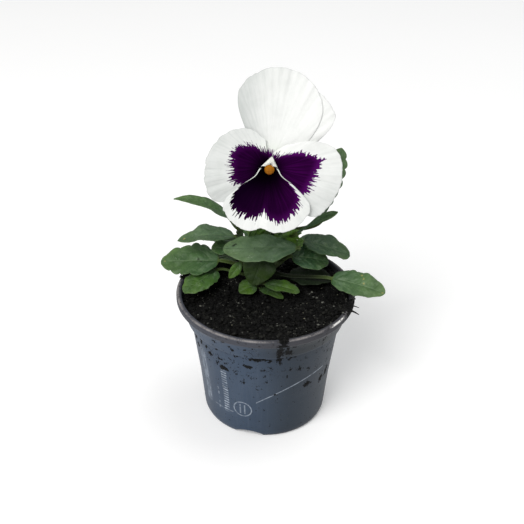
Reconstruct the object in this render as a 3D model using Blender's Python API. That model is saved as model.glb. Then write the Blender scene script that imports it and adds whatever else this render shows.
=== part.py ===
"""A white horned violet with dark blotches, growing in a nine centimetre nursery pot.

The pot stands on the ground plane with its axis on Z, and the flower looks towards -Y.
Tables are in millimetres; everything built from them is in metres.
"""

import math
from typing import NamedTuple

import bmesh
import bpy
import numpy as np
from mathutils import Matrix, Vector, noise

MM = 0.001
CLEARANCE = 0.35  # gap left between pieces that rest on or grow from each other
WELD = 0.0005  # points nearer than this are one point
SHARP_ANGLE = 40.0

# Pot
POT_HEIGHT = 70.0
RIM_RADIUS = 45.0
RIM_WIDTH = 2.6
FOOT_RADIUS = 29.6
HEEL_RADIUS = 32.0
HEEL_HEIGHT = 5.0
WAIST_RADIUS = 33.8
WAIST_HEIGHT = 24.0
SHOULDER_HEIGHT = 55.8
SHOULDER_RADIUS = 38.1
SHOULDER_STEP = 2.0
WALL = 0.8
FLOOR_LIFT = 4.0  # underside of the raised floor above the feet
PAD_RADIUS = 9.0  # the middle of the floor comes down level with the feet
POT_SEGMENTS = 48
ARCH_COUNT = 3
ARCH_WIDTH = 14.0
ARCH_HEIGHT = 3.4
ARCH_TURN = -104.5  # where the first arch between the feet is, degrees from +X
DRAIN_COUNT = 6
DRAIN_RADIUS = 2.4
DRAIN_CIRCLE = 18.0

# Soil
SOIL_LEVEL = 65.2  # in the middle
SOIL_EDGE_RISE = 1.9
SOIL_LUMP = 0.9
LUMP_SPACING = 9.0
CRUMB_SPACING = 3.7
SOIL_SEGMENTS = 40
SOIL_RINGS = 9

# Stems and leaves
STEM_TAPER = 0.6  # share of its radius that a stem loses at its tip
STEM_SPAN_POINTS = 4  # points on a stem for each span of its path
FLOWER_STALK_POINTS = 29
BUD_STALK_POINTS = 5
STALK_GAP = 0.6  # from a stem's side to the middle of a stalk's end
STALK_WIDTH = 1.9
STALK_FOLD = 30.0
STALK_ROWS = 4
LEAF_THICKNESS = 0.7
BLADE_SKEW = 0.85  # under 1 puts the widest place of a blade nearer its base
ROWS_PER_TOOTH = 3
TOOTH_DEPTH = 0.17
TOOTH_ROUNDNESS = 0.5
TIP_HALF_WIDTH = 0.9
BROAD_LEAF = 12.0  # leaves wider than this have rounded halves, narrower ones flat halves
HALF_CURL = 0.35  # how much each half of a blade rounds over towards its edge

# Flower
PETAL_THICKNESS = 0.6
PETAL_ROWS = 8
PETAL_COLUMNS = 12
FLOWER_CENTRE = (0.7, -3.0, 139.5)
FLOWER_TILT = 25.0  # degrees that the face looks up from level
CLAW_RADIUS = 1.65
CLAW_SHARE = 0.62  # angular width of a petal at its claw against its blade
CLAW_END = 0.35  # share of a petal's length at which its blade has its full angular width
LEAN_RADIUS = 35.0
THROAT_DEPTH = 2.4
THROAT_RADIUS = 3.2
SPUR_DROP = 4.8  # how far below the throat the spur runs back
SPUR_LENGTH = 9.5
SPUR_RADIUS = 1.2
RECEPTACLE_RADIUS = 2.3
RECEPTACLE_FRONT = -5.0
RECEPTACLE_BACK = -8.2
SEPAL_ANGLES = (90, 22, 158, 226, 314)
SEPAL_START = 1.0
SEPAL_LENGTH = 13.0
SEPAL_WIDTH = 3.8
SEPAL_ROOT = -6.6
SEPAL_RISE = 1.4  # how far forwards the tips come to lie against the petals
SEPAL_CUP = 0.35

COLOURS = {
    "pot_plastic": ((0.085, 0.115, 0.150), 0.55),
    "potting_soil": ((0.012, 0.010, 0.008), 0.95),
    "green_stem": ((0.105, 0.190, 0.045), 0.50),
    "leaf_green": ((0.045, 0.120, 0.040), 0.42),
    "white_petal": ((0.800, 0.820, 0.800), 0.60),
    "orange_eye": ((0.750, 0.290, 0.010), 0.55),
}


class Stem(NamedTuple):
    """A round stem through points in millimetres."""

    path: tuple
    radius: float


class Leaf(NamedTuple):
    """One leaf on its stalk. Points are in millimetres."""

    stem: str
    height: float  # level at which the stalk leaves the stem
    base: tuple  # where the blade begins
    tip: tuple
    width: float
    facing: tuple = (0.0, 0.0, 1.0)  # where the upper side looks
    arch: float = 2.5  # rise of the midrib above the straight line
    fold: float = 10.0  # degrees that each half rises from flat
    teeth: int = 4
    fullness: float = 0.66  # the smaller it is, the blunter the blade at both ends


class Petal(NamedTuple):
    """One petal as a fan round the throat: its outline is (degrees, millimetres)."""

    outline: tuple
    layer: float  # how far in front of the throat's plane it starts
    lean: float  # further travel forwards at the lean radius
    ripple: float  # height of the waves along its edge
    waves: float  # how many of them a full turn would hold
    phase: float


STEMS = {
    "main": Stem(((-3, 8, 58), (-3, 8, 66), (-2.6, 10, 73), (-1, 15, 83), (0.5, 19, 94)), 2.0),
    "left": Stem(((-3, 9, 68), (-8, 13, 75), (-12, 17, 86), (-12.8, 18, 98)), 1.4),
    "right": Stem(((-3, 9, 70), (4, 12, 77), (9, 16, 86), (11, 18, 97)), 1.3),
}

LEAVES = {
    "leaf_left_low": Leaf("left", 77, (-24, 12, 79.3), (-54, 16, 75.8), 21.5, (0, -0.3, 1), 0.2, 6, 3, 0.5),
    "leaf_left_front": Leaf(
        "left", 72.5, (-25.5, 10.5, 74.3), (-40.4, -6.5, 71.5), 15, (-0.1, -0.2, 1), 0.6, 6, 3, 0.5
    ),
    "leaf_left_mid": Leaf("left", 89.5, (-16, 17, 91), (-44.9, 15, 88.9), 15, (0, 0, 1), 2.0, 12, 3),
    "leaf_left_high": Leaf(
        "left", 95, (-19.5, 14, 103.6), (-45.5, 10, 115.8), 11, (0, -0.1, 1), 2.8, 12, 4
    ),
    "leaf_left_small": Leaf(
        "left", 81.5, (-19, 16, 83.8), (-27.8, 16, 84.3), 10, (0, -0.3, 1), 0.6, 8, 2, 0.5
    ),
    "leaf_front_broad": Leaf(
        "right", 87, (15.3, 4.3, 92), (-21.5, 5.6, 90.5), 25, (0, -0.05, 1), 0.6, 4, 4, 0.5
    ),
    "leaf_front_pointed": Leaf(
        "left", 79, (-12.8, 5, 82.7), (-18.5, 1, 76), 5.5, (0.3, -1, 0.5), 0.8, 10, 2
    ),
    "leaf_front_shaded": Leaf("main", 80, (-2, 5.8, 85), (-6.9, 1.3, 72), 17, (0, -1, 0.4), 1.2, 8, 3, 0.56),
    "leaf_soil_left": Leaf(
        "main", 69.8, (-5.2, 3.7, 69.7), (-13.3, 0.2, 67.9), 11, (0, -0.2, 1), 0.8, 8, 2, 0.5
    ),
    "leaf_soil_mid": Leaf(
        "main", 67.4, (-2.6, 3.9, 68), (8.8, -3.9, 67), 8, (0.1, 0.1, 1), 0.6, 4, 2, 0.55
    ),
    "leaf_soil_right": Leaf(
        "main", 71.3, (-0.4, 2.6, 71.6), (17, -2.6, 70.2), 10.5, (0, 0, 1), 0.8, 6, 3, 0.5
    ),
    "leaf_right_mid": Leaf(
        "right", 80, (13, 9.8, 83.8), (31.8, 11.6, 79.5), 17, (0, -0.3, 1), 0.8, 6, 3, 0.5
    ),
    "leaf_right_high": Leaf(
        "right", 85, (19, 17, 88.3), (42.8, 14.2, 81.5), 18, (0.1, -0.1, 1), 1.2, 8, 3, 0.5
    ),
    "leaf_right_rim": Leaf(
        "right", 75, (33.4, 3.8, 74.5), (59.3, -7, 73), 17, (0, -0.25, 1), 0.9, 6, 4, 0.52
    ),
    "leaf_right_shaded": Leaf(
        "right", 72.5, (12, 12, 70.8), (34, 10.5, 69.6), 18, (0, 0, 1), 0.5, 4, 3, 0.5
    ),
    "leaf_right_slim": Leaf("right", 93, (15.5, 10, 97), (35.1, 10, 109.5), 6, (-0.3, -0.4, 1), 1.6, 8, 3),
    "leaf_right_tall": Leaf(
        "right", 95, (28, 17.5, 102), (36, 20, 139.5), 15, (0.1, -1, 0.2), 1.0, 8, 5, 0.52
    ),
    "leaf_behind_broad": Leaf(
        "main", 87, (-3, 21, 88.5), (-10.4, 20, 93.2), 8, (0, -0.5, 1), 0.6, 8, 2, 0.55
    ),
    "leaf_back_left": Leaf("left", 80, (-16, 24, 83), (-36, 35, 79.5), 13, (0, 0, 1), 1.5, 10, 3, 0.58),
    "leaf_back_mid": Leaf("main", 79, (-3, 24, 82), (-6, 50, 76), 17, (0, 0, 1), 3.0, 8, 3, 0.55),
    "leaf_back_right": Leaf("right", 83, (17, 25, 82), (38, 32, 76), 15, (0, 0, 1), 1.5, 8, 3, 0.58),
    "leaf_back_low_left": Leaf(
        "left", 73.5, (-14, 21, 75), (-31, 30, 71.8), 14, (0, 0, 1), 1.0, 8, 3, 0.55
    ),
    "leaf_back_low_mid": Leaf("main", 73, (-1.5, 19, 74.3), (4, 39, 71.6), 14, (0, 0, 1), 1.0, 8, 3, 0.55),
    "leaf_back_low_right": Leaf(
        "right", 75.5, (13, 22, 76.5), (27, 32, 72), 14, (0, 0, 1), 1.0, 8, 3, 0.55
    ),
    "leaf_back_high_left": Leaf("left", 94, (-14, 27, 97), (-20, 39, 108), 12, (0, 0.6, 1), 2.0, 8, 3),
    "leaf_back_high_right": Leaf("right", 91, (11, 26, 97), (21, 39, 112), 13, (0, 0.6, 1), 2.0, 8, 3),
}

PETALS = {
    "petal_lower": Petal(
        ((-150, 12), (-145, 24), (-138, 28.5), (-115, 30.5), (-103, 29.5), (-97, 27.5), (-91, 29),
         (-72, 30.5), (-52, 28.5), (-40, 25), (-32, 12)),
        layer=1.9, lean=1.0, ripple=0.35, waves=6, phase=0.4,
    ),
    "petal_left": Petal(
        ((97, 13.5), (115, 20), (136, 25), (162, 28.5), (185, 30), (204, 30.5), (215, 27.5), (228, 14)),
        layer=0.4, lean=0.4, ripple=0.45, waves=8, phase=1.0,
    ),
    "petal_right": Petal(
        ((-56, 15), (-50, 28), (-43, 32), (-18, 34), (6, 34), (18, 32), (29, 26), (45, 16.5), (75, 7.5)),
        layer=0.4, lean=0.4, ripple=0.45, waves=8, phase=2.2,
    ),
    "petal_upper_front": Petal(
        ((33, 21), (45, 34.5), (55, 41), (65, 45), (78, 47), (90, 46.5), (103, 43), (112, 38.5),
         (117, 32), (122, 20)),
        layer=-1.1, lean=-1.6, ripple=0.3, waves=10, phase=0.0,
    ),
    "petal_upper_back": Petal(
        ((22, 16), (30, 27.5), (34, 35), (39, 40), (61, 42.5), (80, 40.5), (96, 26)),
        layer=-2.5, lean=-2.2, ripple=0.2, waves=8, phase=1.6,
    ),
}

FLOWER_STALK = Stem(
    ((2.5, 22.8, 93), (3, 24, 106), (2.4, 20.5, 120), (1.3, 13.5, 130.3), (0.7, 8.2, 134.3),
     (0.7, 4.9, 135.8)),
    radius=1.0,
)
FLOWER_STALK_HEIGHT = 85.0
BUD_STALK = ((3.2, 18.3, 85.8), (5.8, 19, 88))
BUD_HEIGHT = 83.0
BUD_SHAPE = ((0.0, 0.55), (1.2, 1.2), (2.6, 1.4), (4.0, 0.9), (4.8, 0.3))  # (travel, radius)


def to_metres(point):
    return Vector(point) * MM


def clear_scene():
    for obj in list(bpy.data.objects):
        bpy.data.objects.remove(obj)


def material(name):
    """The named finish, made once."""
    if name in bpy.data.materials:
        return bpy.data.materials[name]
    colour, roughness = COLOURS[name]
    made = bpy.data.materials.new(name)
    made.use_nodes = True
    shader = made.node_tree.nodes["Principled BSDF"]
    shader.inputs["Base Color"].default_value = (*colour, 1.0)
    shader.inputs["Roughness"].default_value = roughness
    shader.inputs["Metallic"].default_value = 0.0
    return made


def finish(obj, name):
    """Gives the object its material, smooth with its sharp edges kept."""
    obj.data.materials.append(material(name))
    obj.data.shade_smooth()
    obj.data.set_sharp_from_angle(angle=math.radians(SHARP_ANGLE))


def add_object(name, mesh, coat=None):
    obj = bpy.data.objects.new(name, mesh)
    bpy.context.scene.collection.objects.link(obj)
    if coat:
        finish(obj, coat)
    return obj


def mesh_from(shape, name):
    mesh = bpy.data.meshes.new(name)
    shape.to_mesh(mesh)
    shape.free()
    return mesh


def baked(obj):
    """A new mesh of what the object's curve or modifiers make, with its doubled points welded."""
    graph = bpy.context.evaluated_depsgraph_get()
    mesh = bpy.data.meshes.new_from_object(obj.evaluated_get(graph))
    shape = bmesh.new()
    shape.from_mesh(mesh)
    bmesh.ops.remove_doubles(shape, verts=shape.verts, dist=WELD * MM)
    shape.to_mesh(mesh)
    shape.free()
    return mesh


def fused(body, extras, solver="EXACT"):
    """Joins the extras into body as one solid, and removes them."""
    group = bpy.data.collections.new(body.name + "_extras")
    bpy.context.scene.collection.children.link(group)
    for extra in extras:
        group.objects.link(extra)
    union = body.modifiers.new("join", "BOOLEAN")
    union.operation = "UNION"
    union.solver = solver
    union.operand_type = "COLLECTION"
    union.collection = group
    bpy.context.view_layer.update()
    body.data = baked(body)
    body.modifiers.clear()
    for extra in extras:
        bpy.data.objects.remove(extra)
    bpy.data.collections.remove(group)
    return body


def cut(body, cutter):
    """Takes the cutter's shape out of body with a live Boolean."""
    cutter.hide_render = True
    cutter.display_type = "WIRE"
    difference = body.modifiers.new("cut_" + cutter.name, "BOOLEAN")
    difference.operation = "DIFFERENCE"
    difference.object = cutter


def smooth_between(knots, values, x):
    """The value at x on a smooth curve through (knots, values)."""
    i = min(max(int(np.searchsorted(knots, x)) - 1, 0), len(knots) - 2)
    low, high = values[max(i - 1, 0)], values[min(i + 2, len(values) - 1)]
    t = (x - knots[i]) / (knots[i + 1] - knots[i])
    a, b = values[i], values[i + 1]
    square = 2 * low - 5 * a + 4 * b - high
    cube = 3 * a - low - 3 * b + high
    return a + (b - low) * t / 2 + square * t**2 / 2 + cube * t**3 / 2


def smooth_path(points, count):
    """count points spaced along a smooth curve through the given ones."""
    knots = list(range(len(points)))
    ends = np.linspace(0, len(points) - 1, count)
    return [Vector([smooth_between(knots, [p[k] for p in points], x) for k in range(3)]) for x in ends]


def tube(name, points, radii, sides_level=1):
    """A round rod along points in millimetres, thinning as radii say, as a closed mesh."""
    line = bpy.data.curves.new(name, "CURVE")
    line.dimensions = "3D"
    line.bevel_depth = MM
    line.bevel_resolution = sides_level
    line.use_fill_caps = True
    spline = line.splines.new("POLY")
    spline.points.add(len(points) - 1)
    for place, point, radius in zip(spline.points, points, radii):
        place.co = (*to_metres(point), 1.0)
        place.radius = radius
    rod = add_object(name, line)
    mesh = baked(rod)
    bpy.data.objects.remove(rod)
    return add_object(name, mesh)


def spun(name, profile, segments):
    """A closed solid of revolution: the profile runs in millimetres from the axis back to the axis."""
    shape = bmesh.new()
    line = [shape.verts.new((r * MM, 0.0, z * MM)) for r, z in profile]
    edges = [shape.edges.new(pair) for pair in zip(line, line[1:])]
    bmesh.ops.spin(
        shape,
        geom=line + edges,
        cent=(0, 0, 0),
        axis=(0, 0, 1),
        angle=math.tau,
        steps=segments,
        use_merge=True,
    )
    bmesh.ops.remove_doubles(shape, verts=shape.verts, dist=WELD * MM)
    bmesh.ops.recalc_face_normals(shape, faces=shape.faces)
    return mesh_from(shape, name)


def pot_outside():
    """The pot's outer profile, from the middle of its underside to the top of its rim."""
    return [
        (0.0, 0.0),
        (PAD_RADIUS, 0.0),
        (PAD_RADIUS + 1.0, FLOOR_LIFT),
        (FOOT_RADIUS - 4.8, FLOOR_LIFT),
        (FOOT_RADIUS - 4.0, 0.0),
        (FOOT_RADIUS, 0.0),
        (FOOT_RADIUS + 1.4, 0.7),
        (FOOT_RADIUS + 2.1, 2.3),
        (HEEL_RADIUS, HEEL_HEIGHT),
        (WAIST_RADIUS, WAIST_HEIGHT),
        (SHOULDER_RADIUS, SHOULDER_HEIGHT),
        (SHOULDER_RADIUS + SHOULDER_STEP, SHOULDER_HEIGHT + 1.0),
        (RIM_RADIUS - 3.2, POT_HEIGHT - 7.5),
        (RIM_RADIUS - 1.6, POT_HEIGHT - 3.9),
        (RIM_RADIUS - 0.4, POT_HEIGHT - 3.6),
        (RIM_RADIUS, POT_HEIGHT - 3.0),
        (RIM_RADIUS, POT_HEIGHT - 0.8),
        (RIM_RADIUS - 0.6, POT_HEIGHT),
    ]


def pot_inside():
    """The pot's inner profile, from the rim's inner edge down to the middle of the floor."""
    return [
        (RIM_RADIUS - RIM_WIDTH + 0.4, POT_HEIGHT),
        (RIM_RADIUS - RIM_WIDTH, POT_HEIGHT - 0.6),
        (RIM_RADIUS - RIM_WIDTH - 0.4, POT_HEIGHT - 3.9),
        (RIM_RADIUS - 3.2 - WALL, POT_HEIGHT - 7.3),
        (SHOULDER_RADIUS + SHOULDER_STEP - WALL, SHOULDER_HEIGHT + 1.6),
        (SHOULDER_RADIUS - WALL, SHOULDER_HEIGHT + 0.6),
        (WAIST_RADIUS - WALL, WAIST_HEIGHT),
        (HEEL_RADIUS - WALL, HEEL_HEIGHT + 0.4),
        (FOOT_RADIUS + 1.2, FLOOR_LIFT + WALL),
        (0.0, FLOOR_LIFT + WALL),
    ]


def arch_cutter():
    """Rounded openings under the foot ring, one after another round the base."""
    shape = bmesh.new()
    middle = FOOT_RADIUS - 1.0
    for i in range(ARCH_COUNT):
        turn = math.radians(ARCH_TURN + i * 360 / ARCH_COUNT)
        made = bmesh.ops.create_cone(
            shape, cap_ends=True, segments=16, radius1=0.5, radius2=0.5, depth=12 * MM
        )
        place = (
            Matrix.Rotation(turn, 4, "Z")
            @ Matrix.Translation((middle * MM, 0, 0))
            @ Matrix.Diagonal((1, ARCH_WIDTH * MM, 2 * ARCH_HEIGHT * MM, 1))
            @ Matrix.Rotation(math.pi / 2, 4, "Y")
        )
        bmesh.ops.transform(shape, matrix=place, verts=made["verts"])
    return add_object("arch_cutter", mesh_from(shape, "arch_cutter"))


def drain_cutter():
    """Round drain holes through the floor."""
    shape = bmesh.new()
    for i in range(DRAIN_COUNT):
        turn = math.tau * i / DRAIN_COUNT
        centre = (DRAIN_CIRCLE * math.cos(turn), DRAIN_CIRCLE * math.sin(turn), FLOOR_LIFT + WALL / 2)
        bmesh.ops.create_cone(
            shape,
            cap_ends=True,
            segments=12,
            radius1=DRAIN_RADIUS * MM,
            radius2=DRAIN_RADIUS * MM,
            depth=4 * MM,
            matrix=Matrix.Translation(to_metres(centre)),
        )
    return add_object("drain_cutter", mesh_from(shape, "drain_cutter"))


def build_pot():
    pot = add_object("pot", spun("pot", pot_outside() + pot_inside(), POT_SEGMENTS), "pot_plastic")
    cut(pot, arch_cutter())
    cut(pot, drain_cutter())


def soil_height(x, y):
    """Level of the soil's surface in millimetres: a shallow dish with lumps."""
    edge = (math.hypot(x, y) / RIM_RADIUS) ** 2
    lumps = noise.noise(Vector((x / LUMP_SPACING, y / LUMP_SPACING, 3.7)))
    crumbs = noise.noise(Vector((x / CRUMB_SPACING, y / CRUMB_SPACING, 9.1)))
    return SOIL_LEVEL + SOIL_EDGE_RISE * edge + SOIL_LUMP * (lumps + crumbs / 2)


def build_soil():
    """Potting soil that fills the pot: its side follows the inner wall, and its top is uneven."""
    wall = [(r - CLEARANCE, z + CLEARANCE) for r, z in reversed(pot_inside()[3:-1])]
    edge = RIM_RADIUS - RIM_WIDTH - 1.0
    top = [(edge * (1 - i / SOIL_RINGS), SOIL_LEVEL) for i in range(SOIL_RINGS + 1)]
    mesh = spun("soil", [(0.0, wall[0][1]), *wall, *top], SOIL_SEGMENTS)
    for vertex in mesh.vertices:
        if vertex.co.z > (SOIL_LEVEL - 0.5) * MM:
            vertex.co.z = soil_height(vertex.co.x / MM, vertex.co.y / MM) * MM
    soil = add_object("soil", mesh, "potting_soil")
    foot = STEMS["main"]
    bottom = Vector(foot.path[0]) - Vector((0, 0, CLEARANCE))
    hole_radius = foot.radius + 2 * CLEARANCE
    cut(soil, tube("stem_hole", [bottom, foot.path[1], foot.path[2]], [hole_radius] * 3, 2))


def stem_line(stem):
    return smooth_path(stem.path, STEM_SPAN_POINTS * (len(stem.path) - 1) + 1)


def stem_radii(stem):
    """The stem's radius at each point of its line, thinning towards its tip."""
    count = len(stem_line(stem))
    return [stem.radius * (1 - STEM_TAPER * (i / (count - 1)) ** 3) for i in range(count)]


def stem_at(name, height):
    """The stem's centre, direction and radius at a level, in millimetres."""
    line, radii = stem_line(STEMS[name]), stem_radii(STEMS[name])
    i = min(range(len(line) - 1), key=lambda k: abs((line[k].z + line[k + 1].z) / 2 - height))
    share = (height - line[i].z) / (line[i + 1].z - line[i].z)
    radius = radii[i] + (radii[i + 1] - radii[i]) * share
    return line[i].lerp(line[i + 1], share), (line[i + 1] - line[i]).normalized(), radius


def growth_point(stem, height, target):
    """Where a stalk that grows from a stem towards target begins, and which way it sets out."""
    centre, direction, radius = stem_at(stem, height)
    out = Vector(target) - centre
    out = (out - direction * out.dot(direction)).normalized()
    start = centre + out * (radius + STALK_GAP)
    return start, (out + (Vector(target) - start).normalized()).normalized()


def build_stems():
    """The crown: a main stem that stands in the soil, with its side shoots grown out of it."""
    rods = []
    for name, stem in STEMS.items():
        rods.append(tube("stem_" + name, stem_line(stem), stem_radii(stem), 2 if name == "main" else 1))
    crown = fused(rods[0], rods[1:])
    crown.name = "crown_stems"
    finish(crown, "green_stem")


def build_flower_stalk():
    """The slender stalk that rises behind the bloom and bends over to its back."""
    start, heading = growth_point("main", FLOWER_STALK_HEIGHT, FLOWER_STALK.path[0])
    line = smooth_path((start, start + heading * 2, *FLOWER_STALK.path), FLOWER_STALK_POINTS)
    finish(tube("flower_stalk", line, [FLOWER_STALK.radius] * len(line)), "green_stem")


def build_bud():
    """A closed bud on its own short stalk."""
    start, _ = growth_point("main", BUD_HEIGHT, BUD_STALK[0])
    line = smooth_path((start, *BUD_STALK), BUD_STALK_POINTS)
    top = Vector(BUD_STALK[-1])
    line += [top + Vector((0, 0, travel)) for travel, _ in BUD_SHAPE[1:]]
    radii = [BUD_SHAPE[0][1]] * BUD_STALK_POINTS + [radius for _, radius in BUD_SHAPE[1:]]
    finish(tube("flower_bud", line, radii), "leaf_green")


def half_width(leaf, b):
    """Half the blade's width in millimetres, at b from 0 at its base to 1 at its tip."""
    plain = math.sin(math.pi * b**BLADE_SKEW) ** leaf.fullness if 0 < b < 1 else 0.0
    scallop = math.sin(math.pi * (b * leaf.teeth % 1.0)) ** TOOTH_ROUNDNESS
    return max(leaf.width / 2 * plain * (1 - TOOTH_DEPTH * (1 - scallop)), TIP_HALF_WIDTH)


def bezier(p, t):
    return p[0] * (1 - t) ** 3 + p[1] * 3 * t * (1 - t) ** 2 + p[2] * 3 * t * t * (1 - t) + p[3] * t**3


def leaf_curves(leaf):
    """The stalk's and the midrib's control points, in millimetres, and the direction across the blade."""
    base, tip = Vector(leaf.base), Vector(leaf.tip)
    along = (tip - base).normalized()
    facing = Vector(leaf.facing)
    up = (facing - along * facing.dot(along)).normalized()
    third = (tip - base) / 3
    rise = up * leaf.arch * 4 / 3
    midrib = (base, base + third + rise, base + 2 * third + rise, tip)
    start, heading = growth_point(leaf.stem, leaf.height, base)
    reach = (base - start).length / 3
    stalk = (start, start + heading * reach, base - (midrib[1] - midrib[0]).normalized() * reach, base)
    return stalk, midrib, along.cross(up)


def leaf_sheet(leaf):
    """The leaf as an open sheet: narrow along its stalk, then a folded blade with rounded teeth."""
    stalk, midrib, across = leaf_curves(leaf)
    blade_rows = ROWS_PER_TOOTH * leaf.teeth
    rows = STALK_ROWS + blade_rows
    columns = 4 if leaf.width > BROAD_LEAF else 2
    shape = bmesh.new()
    bmesh.ops.create_grid(shape, x_segments=rows, y_segments=columns, size=0.5)
    for vertex in shape.verts:
        row = (vertex.co.x + 0.5) * rows
        if row < STALK_ROWS:
            curve, t, half, fold = stalk, row / STALK_ROWS, STALK_WIDTH / 2, STALK_FOLD
        else:
            t = (row - STALK_ROWS) / blade_rows
            curve, half, fold = midrib, half_width(leaf, t), leaf.fold
        step = 0.02
        heading = (bezier(curve, min(t + step, 1.0)) - bezier(curve, max(t - step, 0.0))).normalized()
        side = (across - heading * across.dot(heading)).normalized()
        lift = side.cross(heading)
        away = 2 * vertex.co.y
        rise = math.tan(math.radians(fold)) * abs(away) * (1 + HALF_CURL - HALF_CURL * away * away)
        vertex.co = (bezier(curve, t) + (side * away + lift * rise) * half) * MM
    bmesh.ops.triangulate(shape, faces=shape.faces)
    return shape


def add_thickness(obj, thickness):
    shell = obj.modifiers.new("thickness", "SOLIDIFY")
    shell.thickness = thickness * MM
    shell.offset = 0.0


def build_leaf(name, leaf):
    obj = add_object(name, mesh_from(leaf_sheet(leaf), name), "leaf_green")
    add_thickness(obj, LEAF_THICKNESS)


def petal_relief(petal, r, share, angle):
    """How far in front of the throat's plane the petal is, in millimetres."""
    throat = -THROAT_DEPTH * math.exp(-((r / THROAT_RADIUS) ** 2))
    wave = petal.ripple * share**3 * math.sin(petal.waves * math.radians(angle) + petal.phase)
    return petal.layer + throat + petal.lean * (r / LEAN_RADIUS) ** 2 + wave


def petal_sheet(petal):
    """The petal as an open fan from its claw to its outline."""
    angles = [a for a, _ in petal.outline]
    radii = [r for _, r in petal.outline]
    middle = (angles[0] + angles[-1]) / 2
    shape = bmesh.new()
    bmesh.ops.create_grid(shape, x_segments=PETAL_ROWS, y_segments=PETAL_COLUMNS, size=0.5)
    for vertex in shape.verts:
        share = vertex.co.x + 0.5
        angle = angles[0] + (vertex.co.y + 0.5) * (angles[-1] - angles[0])
        r = CLAW_RADIUS + (smooth_between(angles, radii, angle) - CLAW_RADIUS) * share
        spread = min(share / CLAW_END, 1.0)
        spread = CLAW_SHARE + (1 - CLAW_SHARE) * spread * spread * (3 - 2 * spread)
        turn = math.radians(middle + (angle - middle) * spread)
        z = petal_relief(petal, r, share, angle)
        vertex.co = to_metres((r * math.cos(turn), r * math.sin(turn), z))
    bmesh.ops.triangulate(shape, faces=shape.faces)
    return shape


def build_petal(name, petal):
    obj = add_object(name, mesh_from(petal_sheet(petal), name), "white_petal")
    add_thickness(obj, PETAL_THICKNESS)
    return obj


def build_lower_petal(petal):
    """The lower petal, whose claw runs on backwards as a blunt spur."""
    front = petal_relief(petal, SPUR_DROP, 0.0, -90.0)
    line = [(0, -SPUR_DROP, front - SPUR_LENGTH * share) for share in (0.0, 0.25, 0.5, 0.75, 0.93, 1.0)]
    radii = [SPUR_RADIUS * scale for scale in (0.8, 1.0, 1.0, 1.0, 0.85, 0.4)]
    return fused(build_petal("petal_lower", petal), [tube("spur", line, radii)])


def build_sepal(turn):
    """One slim sepal that lies behind the petals, pointing outwards at turn degrees."""
    shape = bmesh.new()
    bmesh.ops.create_grid(shape, x_segments=6, y_segments=2, size=0.5)
    for vertex in shape.verts:
        share = vertex.co.x + 0.5
        half = SEPAL_WIDTH / 2 * max(math.sin(math.pi * (0.1 + 0.9 * share)) ** 0.8, 0.1)
        away = vertex.co.y * 2
        height = SEPAL_ROOT + SEPAL_RISE * share + SEPAL_CUP * away * away
        vertex.co = to_metres((SEPAL_START + (SEPAL_LENGTH - SEPAL_START) * share, away * half, height))
    bmesh.ops.rotate(shape, verts=shape.verts, matrix=Matrix.Rotation(math.radians(turn), 3, "Z"))
    bmesh.ops.triangulate(shape, faces=shape.faces)
    sepal = add_object("sepal", mesh_from(shape, "sepal"))
    add_thickness(sepal, PETAL_THICKNESS)
    return sepal


def build_calyx():
    """The green cup behind the petals with its five sepals."""
    profile = [
        (0.0, RECEPTACLE_BACK),
        (1.2, RECEPTACLE_BACK),
        (RECEPTACLE_RADIUS, RECEPTACLE_BACK + 1.2),
        (RECEPTACLE_RADIUS, RECEPTACLE_FRONT - 0.5),
        (1.6, RECEPTACLE_FRONT),
        (0.0, RECEPTACLE_FRONT),
    ]
    cup = add_object("calyx", spun("calyx", profile, 16))
    fused(cup, [build_sepal(turn) for turn in SEPAL_ANGLES], "MANIFOLD")
    finish(cup, "leaf_green")
    return cup


def build_pistil():
    """The pistil: a small ovary in the throat, with the round head that shows as the flower's eye."""
    profile = [
        (0.0, RECEPTACLE_FRONT + CLEARANCE),
        (1.0, RECEPTACLE_FRONT + CLEARANCE),
        (1.2, RECEPTACLE_FRONT + 1.4),
        (0.7, RECEPTACLE_FRONT + 3.0),
        (0.7, RECEPTACLE_FRONT + 4.6),
        (1.25, RECEPTACLE_FRONT + 5.4),
        (1.25, RECEPTACLE_FRONT + 6.2),
        (0.7, RECEPTACLE_FRONT + 6.9),
        (0.0, RECEPTACLE_FRONT + 7.0),
    ]
    return add_object("pistil", spun("pistil", profile, 12), "orange_eye")


def build_flower():
    """The bloom, built flat in its own frame: X to its right, Y up its face, Z forwards."""
    face = bpy.data.objects.new("flower_face", None)
    bpy.context.scene.collection.objects.link(face)
    pieces = [build_calyx(), build_pistil()]
    for name, petal in PETALS.items():
        pieces.append(build_lower_petal(petal) if name == "petal_lower" else build_petal(name, petal))
    face.location = to_metres(FLOWER_CENTRE)
    face.rotation_euler = (math.radians(90 - FLOWER_TILT), 0, 0)
    for piece in pieces:
        piece.parent = face


def main():
    clear_scene()
    build_pot()
    build_soil()
    build_stems()
    for name, leaf in LEAVES.items():
        build_leaf(name, leaf)
    build_flower_stalk()
    build_bud()
    build_flower()


main()
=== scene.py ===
"""The looks of a potted horned violet with one large bloom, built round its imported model.

Tables and shapes are worked out in millimetres, and the meshes made from them are in metres.
"""

import math
import random
from typing import NamedTuple

import bmesh
import bpy
import numpy as np
from mathutils import Matrix, Quaternion, Vector, noise


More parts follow.
